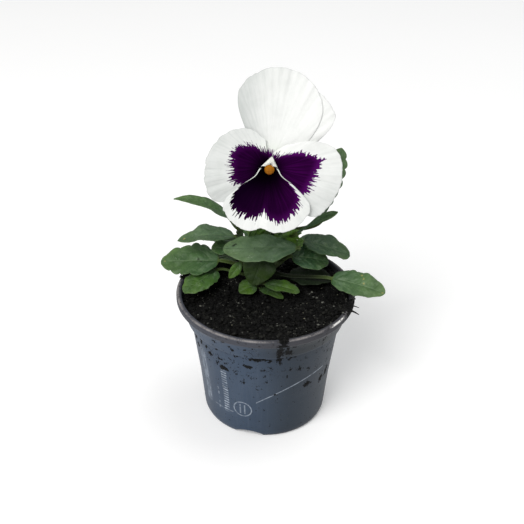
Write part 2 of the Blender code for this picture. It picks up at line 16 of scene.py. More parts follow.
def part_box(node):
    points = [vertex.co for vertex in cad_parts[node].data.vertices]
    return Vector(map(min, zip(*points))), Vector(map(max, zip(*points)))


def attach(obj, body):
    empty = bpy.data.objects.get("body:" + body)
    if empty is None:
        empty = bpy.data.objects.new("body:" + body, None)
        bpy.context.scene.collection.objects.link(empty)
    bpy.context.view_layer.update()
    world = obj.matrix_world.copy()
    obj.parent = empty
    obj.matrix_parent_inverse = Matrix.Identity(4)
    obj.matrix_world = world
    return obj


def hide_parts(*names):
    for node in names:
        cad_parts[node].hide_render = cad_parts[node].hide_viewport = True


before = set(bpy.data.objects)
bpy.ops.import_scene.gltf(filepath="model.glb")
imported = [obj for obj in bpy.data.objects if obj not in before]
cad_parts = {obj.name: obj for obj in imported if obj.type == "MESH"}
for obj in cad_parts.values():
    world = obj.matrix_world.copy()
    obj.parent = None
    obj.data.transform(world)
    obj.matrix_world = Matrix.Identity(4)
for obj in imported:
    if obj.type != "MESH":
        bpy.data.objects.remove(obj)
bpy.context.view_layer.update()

MM = 0.001
WELD = 0.0005
UP = Vector((0, 0, 1))

# Camera, as the photograph was taken
VIEW_TARGET = (-2.0, 0.0, 86.3)
VIEW_DISTANCE = 500.0
VIEW_ELEVATION = 32.26
VIEW_ROLL = 0.6
LENS = 69.3
SENSOR_WIDTH = 36.0

# Stage
FLOOR_RADIUS = 60.0  # in metres, so that low views see no edge
FLOOR_GLOW = 0.15
SKY_STRENGTH = 0.31
LAMP_SIZE = 1.3  # in metres
LAMP_TARGET = (0, 0, 90)

# Pot
RIM_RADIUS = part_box("pot")[1].x / MM
POT_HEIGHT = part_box("pot")[1].z / MM
RIM_WIDTH = 2.6
FOOT_RADIUS = 29.6
HEEL_RADIUS = 32.0
HEEL_HEIGHT = 5.0
WAIST_RADIUS = 33.8
WAIST_HEIGHT = 24.0
SHOULDER_HEIGHT = 55.8
SHOULDER_RADIUS = 38.1
SHOULDER_STEP = 2.0
WALL = 0.8
FLOOR_LIFT = 4.0
PAD_RADIUS = 9.0
POT_SEGMENTS = 192
POT_ROW = 1.4  # longest step between two rows of points on its walls
ARCH_COUNT = 3
ARCH_WIDTH = 15.0
ARCH_HEIGHT = 3.4
ARCH_TURN = -104.5
DRAIN_COUNT = 6
DRAIN_RADIUS = 2.4
DRAIN_CIRCLE = 18.0
SOFT_EDGE = 0.28
SOFT_ANGLE = 24.0  # edges that turn by more degrees than this are rounded

# The pot's plain markings: turns are degrees round it
RING_TURN = -109.5
RING_HEIGHT = 18.0
RING_RADIUS = 4.7
RING_WALL = 33.2  # the wall's own radius there
LINE_TURN = -66.0
LINE_REACH = 31.0  # degrees to each side of its middle
LINE_HEIGHT = 34.5

# Soil
SOIL_LEVEL = 65.2
SOIL_EDGE_RISE = 1.9
SOIL_LUMP = 0.9
LUMP_SPACING = 9.0
CRUMB_SPACING = 3.7
SOIL_SEGMENTS = 240
SOIL_RINGS = 76
SOIL_RADIUS = 42.0  # where its clods have faded out
SOIL_MOUNDS = ((6, -23, 1.1, 180), (-33, -3, -2.4, 60), (26, -2, -1.4, 50))  # (x, y, rise, spread)
CRUMB_COUNT = 8500
CRUMB_REACH = 41.0
CRUMB_BATCH = 200  # how many are made in one go, which is quicker than all at once
PALE_TONE = 1.0
GREY_TONE = 0.93
SMEAR_CRUMBS = 9
HEAP_CRUMBS = 16
FIBRE_COUNT = 420
FIBRE_FIELD = 40.0
FIBRE_REACH = 38.5
FIBRE_POINTS = 6
ROOTLET_POINTS = 13

# Stems and leaves
STEM_TAPER = 0.6
STEM_SPAN_POINTS = 10
STALK_GAP = 0.6
STALK_WIDTH = 1.9
STALK_ROWS = 14
STALK_CURL = 72.0  # degrees that its channel turns up by on each side
BLADE_ROWS = 72
BLADE_COLUMNS = 24
LEAF_THICKNESS = 1.0  # at the stalk; the blade has a share of it
BLADE_SKEW = 0.85
TOOTH_ROUNDNESS = 0.5
TIP_HALF_WIDTH = 0.3
HALF_CURL = 0.35
VEIN_DEPTH = 0.12
VEIN_PUFF = 0.14
VEIN_WIDTH = 0.12  # as a share of the way from one vein to the next
MIDRIB_DEPTH = 0.22
MIDRIB_WIDTH = 0.6
CURVE_STEP = 0.02
FROND_ROWS = 40
FROND_COLUMNS = 8
FROND_THICKNESS = 0.6

# Flower
FLOWER_CENTRE = (0.7, -3.0, 139.5)
FLOWER_TILT = 25.0
PETAL_THICKNESS = 0.6
PETAL_ROWS = 64
PETAL_COLUMNS = 120
CLAW_RADIUS = 1.65
CLAW_SHARE = 0.62
CLAW_END = 0.35
LEAN_RADIUS = 35.0
LOWER_SPREAD = 0.78  # how much wider the lower petal is at its neck than its outline says
LOWER_NECK = 4.6
SLOPE_STEP = 2  # degrees over which the slope of a blotch's edge is taken
STEEP_SHARE = 2.2  # turns that slope, in millimetres a degree, into how barbed the edge is
THROAT_DEPTH = 2.4
THROAT_RADIUS = 3.2
EYE_RADIUS = 2.35
SPUR_DROP = 4.8
SPUR_LENGTH = 9.5
SPUR_RADIUS = 1.2
SPUR_POINTS = 15
RECEPTACLE_RADIUS = 2.3
RECEPTACLE_FRONT = -5.0
RECEPTACLE_BACK = -8.2
SEPAL_ANGLES = (90, 22, 158, 226, 314)
SEPAL_LENGTH = 13.0
SEPAL_WIDTH = 3.8
SEPAL_ROOT = -6.6
SEPAL_RISE = 1.4
SEPAL_START = 1.6
SEPAL_LOBE = 0.25  # share of its length that runs back behind the cup
EYE_ROWS = 10
TUFTS = ((-1, 130), (1, 110))  # the beard's two: (side, number of hairs)
HAIR_RADIUS = 0.18
HAIR_POINTS = 6
BUD_SEPALS = 5


class Stem(NamedTuple):
    """A round stem through points in millimetres."""

    path: tuple
    radius: float


class Leaf(NamedTuple):
    """One leaf on its stalk. Points are in millimetres."""

    stem: str
    height: float
    base: tuple
    tip: tuple
    width: float
    facing: tuple
    arch: float
    fold: float
    teeth: int
    fullness: float = 0.66


class Look(NamedTuple):
    """How a leaf's edge and skin differ from the others'."""

    notches: float  # rounded teeth on each side
    scallop: float  # how deep the notches between them are, as a share of the half width
    young: float = 0.0  # 1 is a fresh yellow-green
    cool: float = 0.0  # 1 is a dark bluish green
    pale: float = 0.0  # 1 is a waxy grey-green
    deep: float = 0.0  # painted shade: 1 is nearly black, for a leaf that sits in shadow
    far: float = 1.0  # width of the side towards +Y, as a share of the plain one
    near: float = 1.0  # the same for the side towards the camera
    droop: float = 0.0  # how far the near edge hangs, in millimetres
    skew: float = BLADE_SKEW  # above 1 its widest place is nearer the tip
    shade: float = 0.45  # painted shade: how dark its stalk is where it leaves the stem, under the leaves


class Frond(NamedTuple):
    """A small stipule or bract: a strip along a path, in millimetres."""

    path: tuple
    halves: tuple  # half its width at each point of the path
    facing: tuple
    cup: float  # how far its sides curl up, as a share of the half width
    young: float
    # painted shade: 1 is nearly black
    deep: float


class Petal(NamedTuple):
    """One petal as a fan round the throat. Outline and blotch are (degrees, millimetres)."""

    outline: tuple
    blotch: tuple
    layer: float
    lean: float
    ripple: float
    waves: float
    phase: float
    fold: float = 0.8  # height of the folds that run along it
    dusk: tuple = (0.0, 0.0)  # how much darker than the brightest its blotch is, at its first and last angle
    throat: float = 8.0  # how far from the throat its black reaches
    grey: tuple = ((0.0, 0.0),)  # painted shade: how grey its white is, (degrees, share)


class Place(NamedTuple):
    """A point of a soft sheet: where it is, what its material reads there, and how thick it is."""

    point: Vector
    pattern: tuple
    tone: tuple
    mark: tuple
    thick: float


STEMS = {
    "main": Stem(((-3, 8, 58), (-3, 8, 66), (-2.6, 10, 73), (-1, 15, 83), (0.5, 19, 94)), 2.0),
    "left": Stem(((-3, 9, 68), (-8, 13, 75), (-12, 17, 86), (-12.8, 18, 98)), 1.4),
    "right": Stem(((-3, 9, 70), (4, 12, 77), (9, 16, 86), (11, 18, 97)), 1.3),
}

LEAVES = {
    "left_low": Leaf("left", 77, (-24, 12, 79.3), (-54, 16, 75.8), 21.5, (0, -0.3, 1), 0.2, 6, 3, 0.5),
    "left_front": Leaf(
        "left", 72.5, (-25.5, 10.5, 74.3), (-40.4, -6.5, 71.5), 15, (-0.1, -0.2, 1), 0.6, 6, 3, 0.5
    ),
    "left_mid": Leaf("left", 89.5, (-16, 17, 91), (-44.9, 15, 88.9), 15, (0, 0, 1), 2.0, 12, 3),
    "left_high": Leaf("left", 95, (-19.5, 14, 103.6), (-45.5, 10, 115.8), 11, (0, -0.1, 1), 2.8, 12, 4),
    "left_small": Leaf("left", 81.5, (-19, 16, 83.8), (-27.8, 16, 84.3), 10, (0, -0.3, 1), 0.6, 8, 2, 0.5),
    "front_broad": Leaf("right", 87, (15.3, 4.3, 92), (-21.5, 5.6, 90.5), 25, (0, -0.05, 1), 0.6, 4, 4, 0.5),
    "front_pointed": Leaf("left", 79, (-12.8, 5, 82.7), (-18.5, 1, 76), 5.5, (0.3, -1, 0.5), 0.8, 10, 2),
    "front_shaded": Leaf("main", 80, (-2, 5.8, 85), (-6.9, 1.3, 72), 17, (0, -1, 0.4), 1.2, 8, 3, 0.56),
    "soil_left": Leaf("main", 69.8, (-5.2, 3.7, 69.7), (-13.3, 0.2, 67.9), 11, (0, -0.2, 1), 0.8, 8, 2, 0.5),
    "soil_mid": Leaf("main", 67.4, (-2.6, 3.9, 68), (8.8, -3.9, 67), 8, (0.1, 0.1, 1), 0.6, 4, 2, 0.55),
    "soil_right": Leaf("main", 71.3, (-0.4, 2.6, 71.6), (17, -2.6, 70.2), 10.5, (0, 0, 1), 0.8, 6, 3, 0.5),
    "right_mid": Leaf("right", 80, (13, 9.8, 83.8), (31.8, 11.6, 79.5), 17, (0, -0.3, 1), 0.8, 6, 3, 0.5),
    "right_high": Leaf("right", 85, (19, 17, 88.3), (42.8, 14.2, 81.5), 18, (0.1, -0.1, 1), 1.2, 8, 3, 0.5),
    "right_rim": Leaf("right", 75, (33.4, 3.8, 74.5), (59.3, -7, 73), 17, (0, -0.25, 1), 0.9, 6, 4, 0.52),
    "right_shaded": Leaf("right", 72.5, (12, 12, 70.8), (34, 10.5, 69.6), 18, (0, 0, 1), 0.5, 4, 3, 0.5),
    "right_slim": Leaf("right", 93, (15.5, 10, 97), (35.1, 10, 109.5), 6, (-0.3, -0.4, 1), 1.6, 8, 3),
    "right_tall": Leaf("right", 95, (28, 17.5, 102), (36, 20, 139.5), 15, (0.1, -1, 0.2), 1.0, 8, 5, 0.52),
    "behind_broad": Leaf("main", 87, (-3, 21, 88.5), (-10.4, 20, 93.2), 8, (0, -0.5, 1), 0.6, 8, 2, 0.55),
    "back_left": Leaf("left", 80, (-16, 24, 83), (-36, 35, 79.5), 13, (0, 0, 1), 1.5, 10, 3, 0.58),
    "back_mid": Leaf("main", 79, (-3, 24, 82), (-6, 50, 76), 17, (0, 0, 1), 3.0, 8, 3, 0.55),
    "back_right": Leaf("right", 83, (17, 25, 82), (38, 32, 76), 15, (0, 0, 1), 1.5, 8, 3, 0.58),
    "back_low_left": Leaf("left", 73.5, (-14, 21, 75), (-31, 30, 71.8), 14, (0, 0, 1), 1.0, 8, 3, 0.55),
    "back_low_mid": Leaf("main", 73, (-1.5, 19, 74.3), (4, 39, 71.6), 14, (0, 0, 1), 1.0, 8, 3, 0.55),
    "back_low_right": Leaf("right", 75.5, (13, 22, 76.5), (27, 32, 72), 14, (0, 0, 1), 1.0, 8, 3, 0.55),
    "back_high_left": Leaf("left", 94, (-14, 27, 97), (-20, 39, 108), 12, (0, 0.6, 1), 2.0, 8, 3),
    "back_high_right": Leaf("right", 91, (11, 26, 97), (21, 39, 112), 13, (0, 0.6, 1), 2.0, 8, 3),
}

LOOKS = {
    "left_low": Look(5, 0.17, young=0.3, cool=0.15, pale=0.3),
    "left_front": Look(6, 0.12, young=0.5, cool=0.1),
    "left_mid": Look(4, 0.1, young=0.1, cool=0.3, pale=0.95, droop=0.4),
    "left_high": Look(5, 0.05, young=0.35, pale=0.3, far=0.95, skew=0.62),
    "left_small": Look(3, 0.05, young=0.2, pale=0.2),
    "front_broad": Look(5, 0.035, cool=0.1, pale=1.0, far=0.82, near=1.05, droop=0.9, skew=1.05),
    "front_pointed": Look(3, 0.04, young=0.85, deep=0.1),
    "front_shaded": Look(2, 0.03, young=1.0, deep=0.74, skew=0.5),
    "soil_left": Look(3, 0.04, young=0.9, deep=0.3),
    "soil_mid": Look(4, 0.04, young=0.6, deep=0.35),
    "soil_right": Look(4, 0.04, young=0.9, deep=0.3),
    "right_mid": Look(5, 0.06, young=0.1, cool=0.75, deep=0.06),
    "right_high": Look(4, 0.12, young=0.1, cool=0.85, pale=0.15, deep=0.12),
    "right_rim": Look(7, 0.07, young=0.3, pale=0.45, shade=1.8),
    "right_shaded": Look(5, 0.05, cool=0.3, deep=0.9, shade=0.05),
    "right_slim": Look(4, 0.05, cool=0.4, pale=0.2, far=0.75, skew=2.2),
    "right_tall": Look(8, 0.3, cool=0.4, pale=0.7, far=0.72, skew=1.7),
    "behind_broad": Look(3, 0.06, young=0.7),
    "back_left": Look(5, 0.1, young=0.2, cool=0.3),
    "back_mid": Look(6, 0.1, young=0.3, cool=0.2),
    "back_right": Look(5, 0.1, young=0.1, cool=0.5),
    "back_low_left": Look(5, 0.08, young=0.5),
    "back_low_mid": Look(5, 0.08, young=0.5),
    "back_low_right": Look(5, 0.08, young=0.3, cool=0.2),
    "back_high_left": Look(5, 0.08, young=0.3, cool=0.2),
    "back_high_right": Look(5, 0.08, young=0.2, cool=0.4),
}

# Dry or bleached spots on the leaves: (share along the blade, share across it, radius)
LEAF_SPOTS = {
    "left_mid": ((0.88, 0.1, 0.9),),
    "right_rim": ((0.5, 0.75, 0.8), (0.55, 0.45, 0.9), (0.59, 0.15, 0.7), (0.96, -0.2, 0.8)),
    "left_low": ((0.93, 0.0, 0.5),),
}

# Where small pale flecks gather on the leaves, in the same numbers
LEAF_FLECKS = {
    "left_low": ((0.75, -0.1, 3.0),),
    "left_high": ((0.4, -0.3, 3.0),),
    "front_broad": ((0.62, 0.75, 3.5), (0.35, 0.8, 3.0), (0.85, 0.5, 2.5)),
    "right_rim": ((0.5, 0.6, 2.5),),
    "left_front": ((0.6, 0.2, 3.0),),
}

# Torn holes, painted as the dark shade seen through them, in the same numbers
LEAF_HOLES = {
    "front_broad": ((0.86, -0.2, 0.9), (0.83, -0.35, 0.7), (0.59, 0.03, 0.35), (0.57, 0.07, 0.35)),
    "left_low": ((0.35, -0.1, 0.7), (0.3, 0.1, 0.6)),
}

FRONDS = {
    "stipule_tall": Frond(
        ((9.8, 16.2, 86), (12.6, 14.4, 90.3), (12.8, 12.6, 94), (12.4, 11.6, 98.2)),
        (0.7, 2.2, 3.8, 5.0), (0, -1, 0.3), 0.25, young=1.0, deep=0.0,
    ),
    "stipule_pale": Frond(
        ((9.6, 16.0, 84.6), (14.4, 15.2, 87.2), (16.9, 13.8, 90), (17.4, 13.2, 92.4)),
        (0.6, 1.6, 2.2, 0.6), (0.1, -1, 0.5), 0.2, young=0.5, deep=0.0,
    ),
    "stipule_light": Frond(
        ((8.8, 16.4, 87), (8.4, 15.7, 90.5), (8.2, 14.8, 94), (8.2, 14.2, 97.0)),
        (0.8, 2.2, 2.4, 1.4), (0, -1, 0.4), 0.2, young=0.2, deep=0.0,
    ),
    "stipule_left": Frond(
        ((-1.2, 17.0, 87.4), (-4.9, 16.7, 91.2), (-7.4, 15.6, 94.6), (-9.0, 14.8, 96.8)),
        (0.6, 2.0, 2.4, 0.6), (0, -1, 0.4), 0.2, young=0.5, deep=0.1,
    ),
    "stipule_mid": Frond(
        ((-1.8, 17.6, 89), (-2.8, 16.8, 92.4), (-3.4, 15.8, 95.4), (-4.0, 15.2, 98.0)),
        (0.6, 2.2, 2.6, 0.8), (0.1, -1, 0.4), 0.2, young=0.9, deep=0.0,
    ),
    "stipule_near": Frond(
        ((-0.6, 17.0, 88.5), (0.2, 16.0, 91.2), (0.6, 15.2, 93.6), (1.0, 15.0, 95.6)),
        (0.6, 1.8, 1.8, 0.4), (-0.1, -1, 0.5), 0.2, young=0.3, deep=0.4,
    ),
    "stipule_dark": Frond(
        ((3.0, 18.5, 85.6), (3.6, 20.4, 90), (4.4, 20.8, 94), (4.8, 20.6, 98.5)),
        (0.8, 3.4, 4.6, 2.4), (0, -1, 0.3), 0.15, young=0.1, deep=0.75,
    ),
    "stipule_husk": Frond(
        ((-12.9, 16.3, 88.5), (-13.1, 16.1, 91), (-13.5, 16.0, 93.4), (-13.7, 16.0, 95.4)),
        (0.9, 1.3, 1.6, 1.2), (0, -1, 0.3), 0.5, young=0.1, deep=0.85,
    ),
}

PETALS = {
    "petal_lower": Petal(
        ((-150, 12), (-145, 24), (-138, 28.5), (-115, 30.5), (-103, 29.5), (-97, 27.5), (-91, 29),
         (-72, 30.5), (-52, 28.5), (-40, 25), (-32, 12)),
        ((-180, 8), (-150, 13), (-147, 18), (-142, 21.8), (-136, 24.2), (-125, 25.6), (-112, 25.3),
         (-104, 24.2), (-100, 22.3), (-96.5, 19.4), (-93, 21), (-88, 23.8), (-78, 25.6), (-66, 25.0),
         (-52, 22.8), (-44, 20.6), (-40, 17.5), (-36, 13), (0, 8)),
        layer=1.9, lean=1.0, ripple=0.35, waves=6, phase=0.4, fold=1.1, dusk=(1.1, -0.05), throat=12.6,
        grey=((-150, 0.4), (-100, 0.05), (-30, 0.35)),
    ),
    "petal_left": Petal(
        ((97, 13.5), (115, 20), (136, 25), (162, 28.5), (185, 30), (204, 30.5), (215, 27.5), (228, 14)),
        ((72, 7), (100, 8.5), (114, 10.6), (122, 12.8), (134, 15.6), (145, 18.0), (157, 19.3), (170, 18.2),
         (183, 18.2), (193, 18.8), (203, 18), (208, 15.5), (228, 14)),
        layer=0.4, lean=0.4, ripple=0.45, waves=8, phase=1.0, fold=2.0, dusk=(0.3, 0.6), throat=8.2,
        grey=((97, 0.3), (140, 0.5), (200, 0.65)),
    ),
    "petal_right": Petal(
        ((-56, 15), (-50, 28), (-43, 32), (-18, 34), (6, 34), (18, 32), (29, 26), (45, 16.5), (75, 7.5)),
        ((-56, 15), (-40, 18.5), (-32, 21), (-25, 21), (-15, 21.8), (-5, 22.8), (3, 23.8), (10, 25.0),
         (15, 23.4), (20, 20.2), (27, 16.3), (34, 12.9), (46, 9), (68, 7.2)),
        layer=0.4, lean=0.4, ripple=0.45, waves=8, phase=2.2, fold=2.0, dusk=(0.0, 0.0), throat=7.0,
        grey=((-56, 0.6), (-20, 0.4), (40, 0.0)),
    ),
    "petal_upper_front": Petal(
        ((33, 21), (45, 34.5), (55, 41), (65, 45), (78, 47), (90, 46.5), (103, 43), (112, 38.5),
         (117, 32), (122, 20)),
        ((33, 4), (50, 6.5), (60, 7.5), (84, 8.2), (97, 8.6), (122, 6)),
        layer=-1.1, lean=-1.6, ripple=0.3, waves=10, phase=0.0, fold=0.9, throat=5.0,
        grey=((62, 0.0), (90, 0.3), (115, 0.9)),
    ),
    "petal_upper_back": Petal(
        ((22, 16), (30, 27.5), (34, 35), (39, 40), (61, 42.5), (80, 40.5), (96, 26)),
        ((0, -9), (180, -9)),
        layer=-1.75, lean=-1.7, ripple=0.3, waves=10, phase=0.0, fold=0.9, throat=5.0,
    ),
}

FLOWER_STALK = Stem(
    ((2.5, 22.8, 93), (3, 24, 106), (2.4, 20.5, 120), (1.3, 13.5, 130.3), (0.7, 8.2, 134.3),
     (0.7, 4.9, 135.8)),
    radius=1.0,
)
FLOWER_STALK_HEIGHT = 85.0
FLOWER_STALK_POINTS = 60
BUD_STALK = ((3.2, 18.3, 85.8), (5.8, 19, 88))
BUD_HEIGHT = 83.0

# Soil stuck to the pot's outside: (degrees round it, height, half its width, half its height, how thick)
SMEARS = (
    (-80.5, 61.0, 1.5, 4.2, 1.2), (-79.5, 53.5, 1.1, 2.6, 1.2), (-74.0, 60.5, 2.6, 1.8, 0.8),
    (-70.5, 64.3, 1.6, 0.9, 0.7), (-75.3, 63.7, 1.0, 1.4, 0.8), (-70.5, 54.3, 3.0, 0.9, 0.7),
    (-90.0, 54.5, 3.0, 0.8, 0.6), (-87.3, 52.6, 1.0, 0.7, 0.8), (-95.7, 53.5, 1.4, 0.7, 0.8),
    (-98.3, 64.4, 0.7, 0.6, 0.9), (-103.0, 48.8, 2.6, 0.9, 1.2), (-103.6, 62.4, 0.9, 0.6, 0.8),
    (-98.5, 54.0, 3.4, 0.8, 1.2), (-107.8, 38.0, 1.8, 1.6, 0.7), (-111.1, 54.5, 0.9, 0.8, 0.9),
    (-112.9, 60.2, 1.0, 0.6, 0.9), (-114.3, 62.3, 0.8, 0.7, 0.8), (-121.2, 43.3, 1.0, 1.0, 0.9),
    (-124.3, 43.5, 2.4, 1.2, 1.2), (-126.2, 48.6, 1.4, 0.7, 1.0), (-128.8, 54.6, 1.0, 0.8, 0.9),
    (-126.3, 62.2, 0.8, 0.8, 0.9), (-130.0, 45.5, 1.6, 1.4, 0.8), (-136.5, 48.6, 1.3, 1.1, 1.1),
    (-140.9, 51.3, 1.0, 1.3, 1.0), (-147.7, 52.4, 1.4, 2.2, 0.9), (-155.0, 47.1, 1.2, 1.8, 1.0),
    (-157.6, 51.7, 1.8, 2.4, 1.3), (-162.0, 56.0, 1.8, 1.8, 0.9), (-119.0, 65.0, 1.5, 0.6, 1.0),
    (-70.2, 46.1, 0.8, 0.8, 0.8), (-62.6, 45.4, 1.6, 1.5, 0.8), (-53.9, 43.2, 1.0, 1.0, 0.8),
    (-52.9, 32.0, 2.4, 1.6, 1.1), (-35.0, 29.5, 1.7, 2.0, 1.3), (-27.0, 31.6, 1.4, 3.4, 1.2),
    (-90.9, 42.9, 1.0, 0.7, 0.7), (-88.9, 39.3, 0.7, 0.9, 0.7), (-72.8, 41.6, 0.7, 0.7, 0.7),
    (-96.0, 33.6, 0.8, 0.9, 0.7), (-81.3, 29.9, 0.6, 0.6, 0.7), (-90.6, 19.2, 0.6, 0.6, 0.8),
    (40.0, 50.0, 2.0, 2.5, 1.1), (75.0, 38.0, 2.4, 1.6, 0.9), (118.0, 54.0, 2.8, 1.2, 1.1),
    (150.0, 45.0, 1.8, 2.8, 0.9),
)

# Rootlets that stick out past the rim: (points, radius at the root, the middle and the tip)
ROOTLETS = (
    (((38, -13, 69.4), (41.4, -14.0, 69.9), (43.6, -14.6, 70.4), (46.0, -15.6, 70.1)), (0.5, 0.45, 0.15)),
    (((36, -15.5, 68.6), (39.5, -17.5, 69.6), (42.4, -19.2, 70.6), (45.6, -21.0, 69.7)), (0.9, 0.85, 0.2)),
)

# Soil heaped on the rim: (degrees round it, half its width in degrees)
RIM_HEAPS = ((-19.0, 9.0), (-79.0, 3.0), (58.0, 12.0), (163.0, 6.0))


def to_metres(point):
    return Vector(point) * MM


def held(value, low=0.0, high=1.0):
    return min(max(value, low), high)


def hill(x):
    """1 at 0, falling smoothly to 0 on both sides."""
    return math.exp(-x * x)


def cloudy(x, y, z):
    """Smooth noise from about -1 to 1."""
    return noise.noise(Vector((x, y, z)))


def polar(radius, angle, z=0.0):
    return Vector((radius * math.cos(angle), radius * math.sin(angle), z))


def turned_past(turn, middle):
    """Degrees from middle to turn, the shorter way round."""
    return (turn - middle + 180) % 360 - 180


class Value:
    """A number socket in a material. Arithmetic on it adds Math nodes."""

    def __init__(self, finish, socket):
        self.finish = finish
        self.socket = socket

    def math(self, operation, *others):
        return self.finish.math(operation, self, *others)

    def __add__(self, other):
        return self.math("ADD", other)

    def __radd__(self, other):
        return self.math("ADD", other)

    def __sub__(self, other):
        return self.math("SUBTRACT", other)

    def __rsub__(self, other):
        return self.finish.math("SUBTRACT", other, self)

    def __mul__(self, other):
        return self.math("MULTIPLY", other)

    def __rmul__(self, other):
        return self.math("MULTIPLY", other)

    def __truediv__(self, other):
        return self.math("DIVIDE", other)

    def __pow__(self, other):
        return self.math("POWER", other)

    def __abs__(self):
        return self.math("ABSOLUTE")

    def between(self, low, high):
        """0 at low and beyond, 1 at high and beyond, and smooth between them."""
        settings = {"interpolation_type": "SMOOTHSTEP"}
        return self.finish.node("ShaderNodeMapRange", settings, {0: self, 1: low, 2: high})

    def near(self, middle, reach):
        """1 at middle, falling smoothly to 0 at reach from it."""
        return abs(self - middle).between(reach, 0.0)

    def repeated(self, spacing, reach):
        """Marks every spacing, each 1 at its middle and 0 at reach, which is a share of the spacing."""
        return (self / spacing).math("FRACT").near(0.5, reach)

    def most(self, *others):
        """The largest of this value and the others."""
        largest = self
        for other in others:
            largest = largest.math("MAXIMUM", other)
        return largest


class Finish:
    """One material. node() adds any node, and paint() sets the shader's sockets."""

    def __init__(self, name):
        self.made = bpy.data.materials.new(name)
        self.made.use_nodes = True
        self.tree = self.made.node_tree
        self.shader = self.tree.nodes["Principled BSDF"]

    def feed(self, socket, value):
        if isinstance(value, Value):
            self.tree.links.new(value.socket, socket)
        else:
            socket.default_value = value

    def node(self, kind, settings, inputs, output=0):
        made = self.tree.nodes.new(kind)
        for name, value in settings.items():
            setattr(made, name, value)
        for key, value in inputs.items():
            self.feed(made.inputs[key], value)
        return Value(self, made.outputs[output])

    def math(self, operation, *values):
        return self.node("ShaderNodeMath", {"operation": operation}, dict(enumerate(values)))

    def parts(self, vector):
        """A vector's three numbers."""
        first = self.node("ShaderNodeSeparateXYZ", {}, {0: vector})
        return [Value(self, socket) for socket in first.socket.node.outputs]

    def attribute(self, name):
        return self.node("ShaderNodeAttribute", {"attribute_name": name}, {}, output=1)

    def object_place(self):
        return self.node("ShaderNodeTexCoord", {}, {}, output=3)

    def vector(self, x, y, z=0.0):
        return self.node("ShaderNodeCombineXYZ", {}, {0: x, 1: y, 2: z})

    def noise(self, place, scale, detail, rough=0.5):
        """Cloudy values round 0.5; scale is in cycles for each unit of place."""
        inputs = {"Vector": place, "Scale": scale, "Detail": detail, "Roughness": rough}
        return self.node("ShaderNodeTexNoise", {}, inputs)

    def cells(self, place, scale, feature="F1"):
        inputs = {"Vector": place, "Scale": scale}
        return self.node("ShaderNodeTexVoronoi", {"feature": feature}, inputs)

    def mix(self, share, first, second):
        """The first colour where share is 0, and the second where it is 1."""
        return self.node("ShaderNodeMix", {"data_type": "RGBA"}, {0: share, 6: first, 7: second}, output=2)

    def coats(self, base, *layers):
        """Colours laid over base one after another: each layer is (share, red, green, blue)."""
        for share, *tint in layers:
            base = self.mix(share, base, colour(*tint))
        return base

    def bump(self, height, distance, strength):
        inputs = {"Strength": strength, "Distance": distance, "Height": height}
        return self.node("ShaderNodeBump", {}, inputs)

    def paint(self, **sockets):
        for name, value in sockets.items():
            self.feed(self.shader.inputs[name.replace("_", " ")], value)
        return self.made


def colour(red, green, blue):
    return (red, green, blue, 1.0)


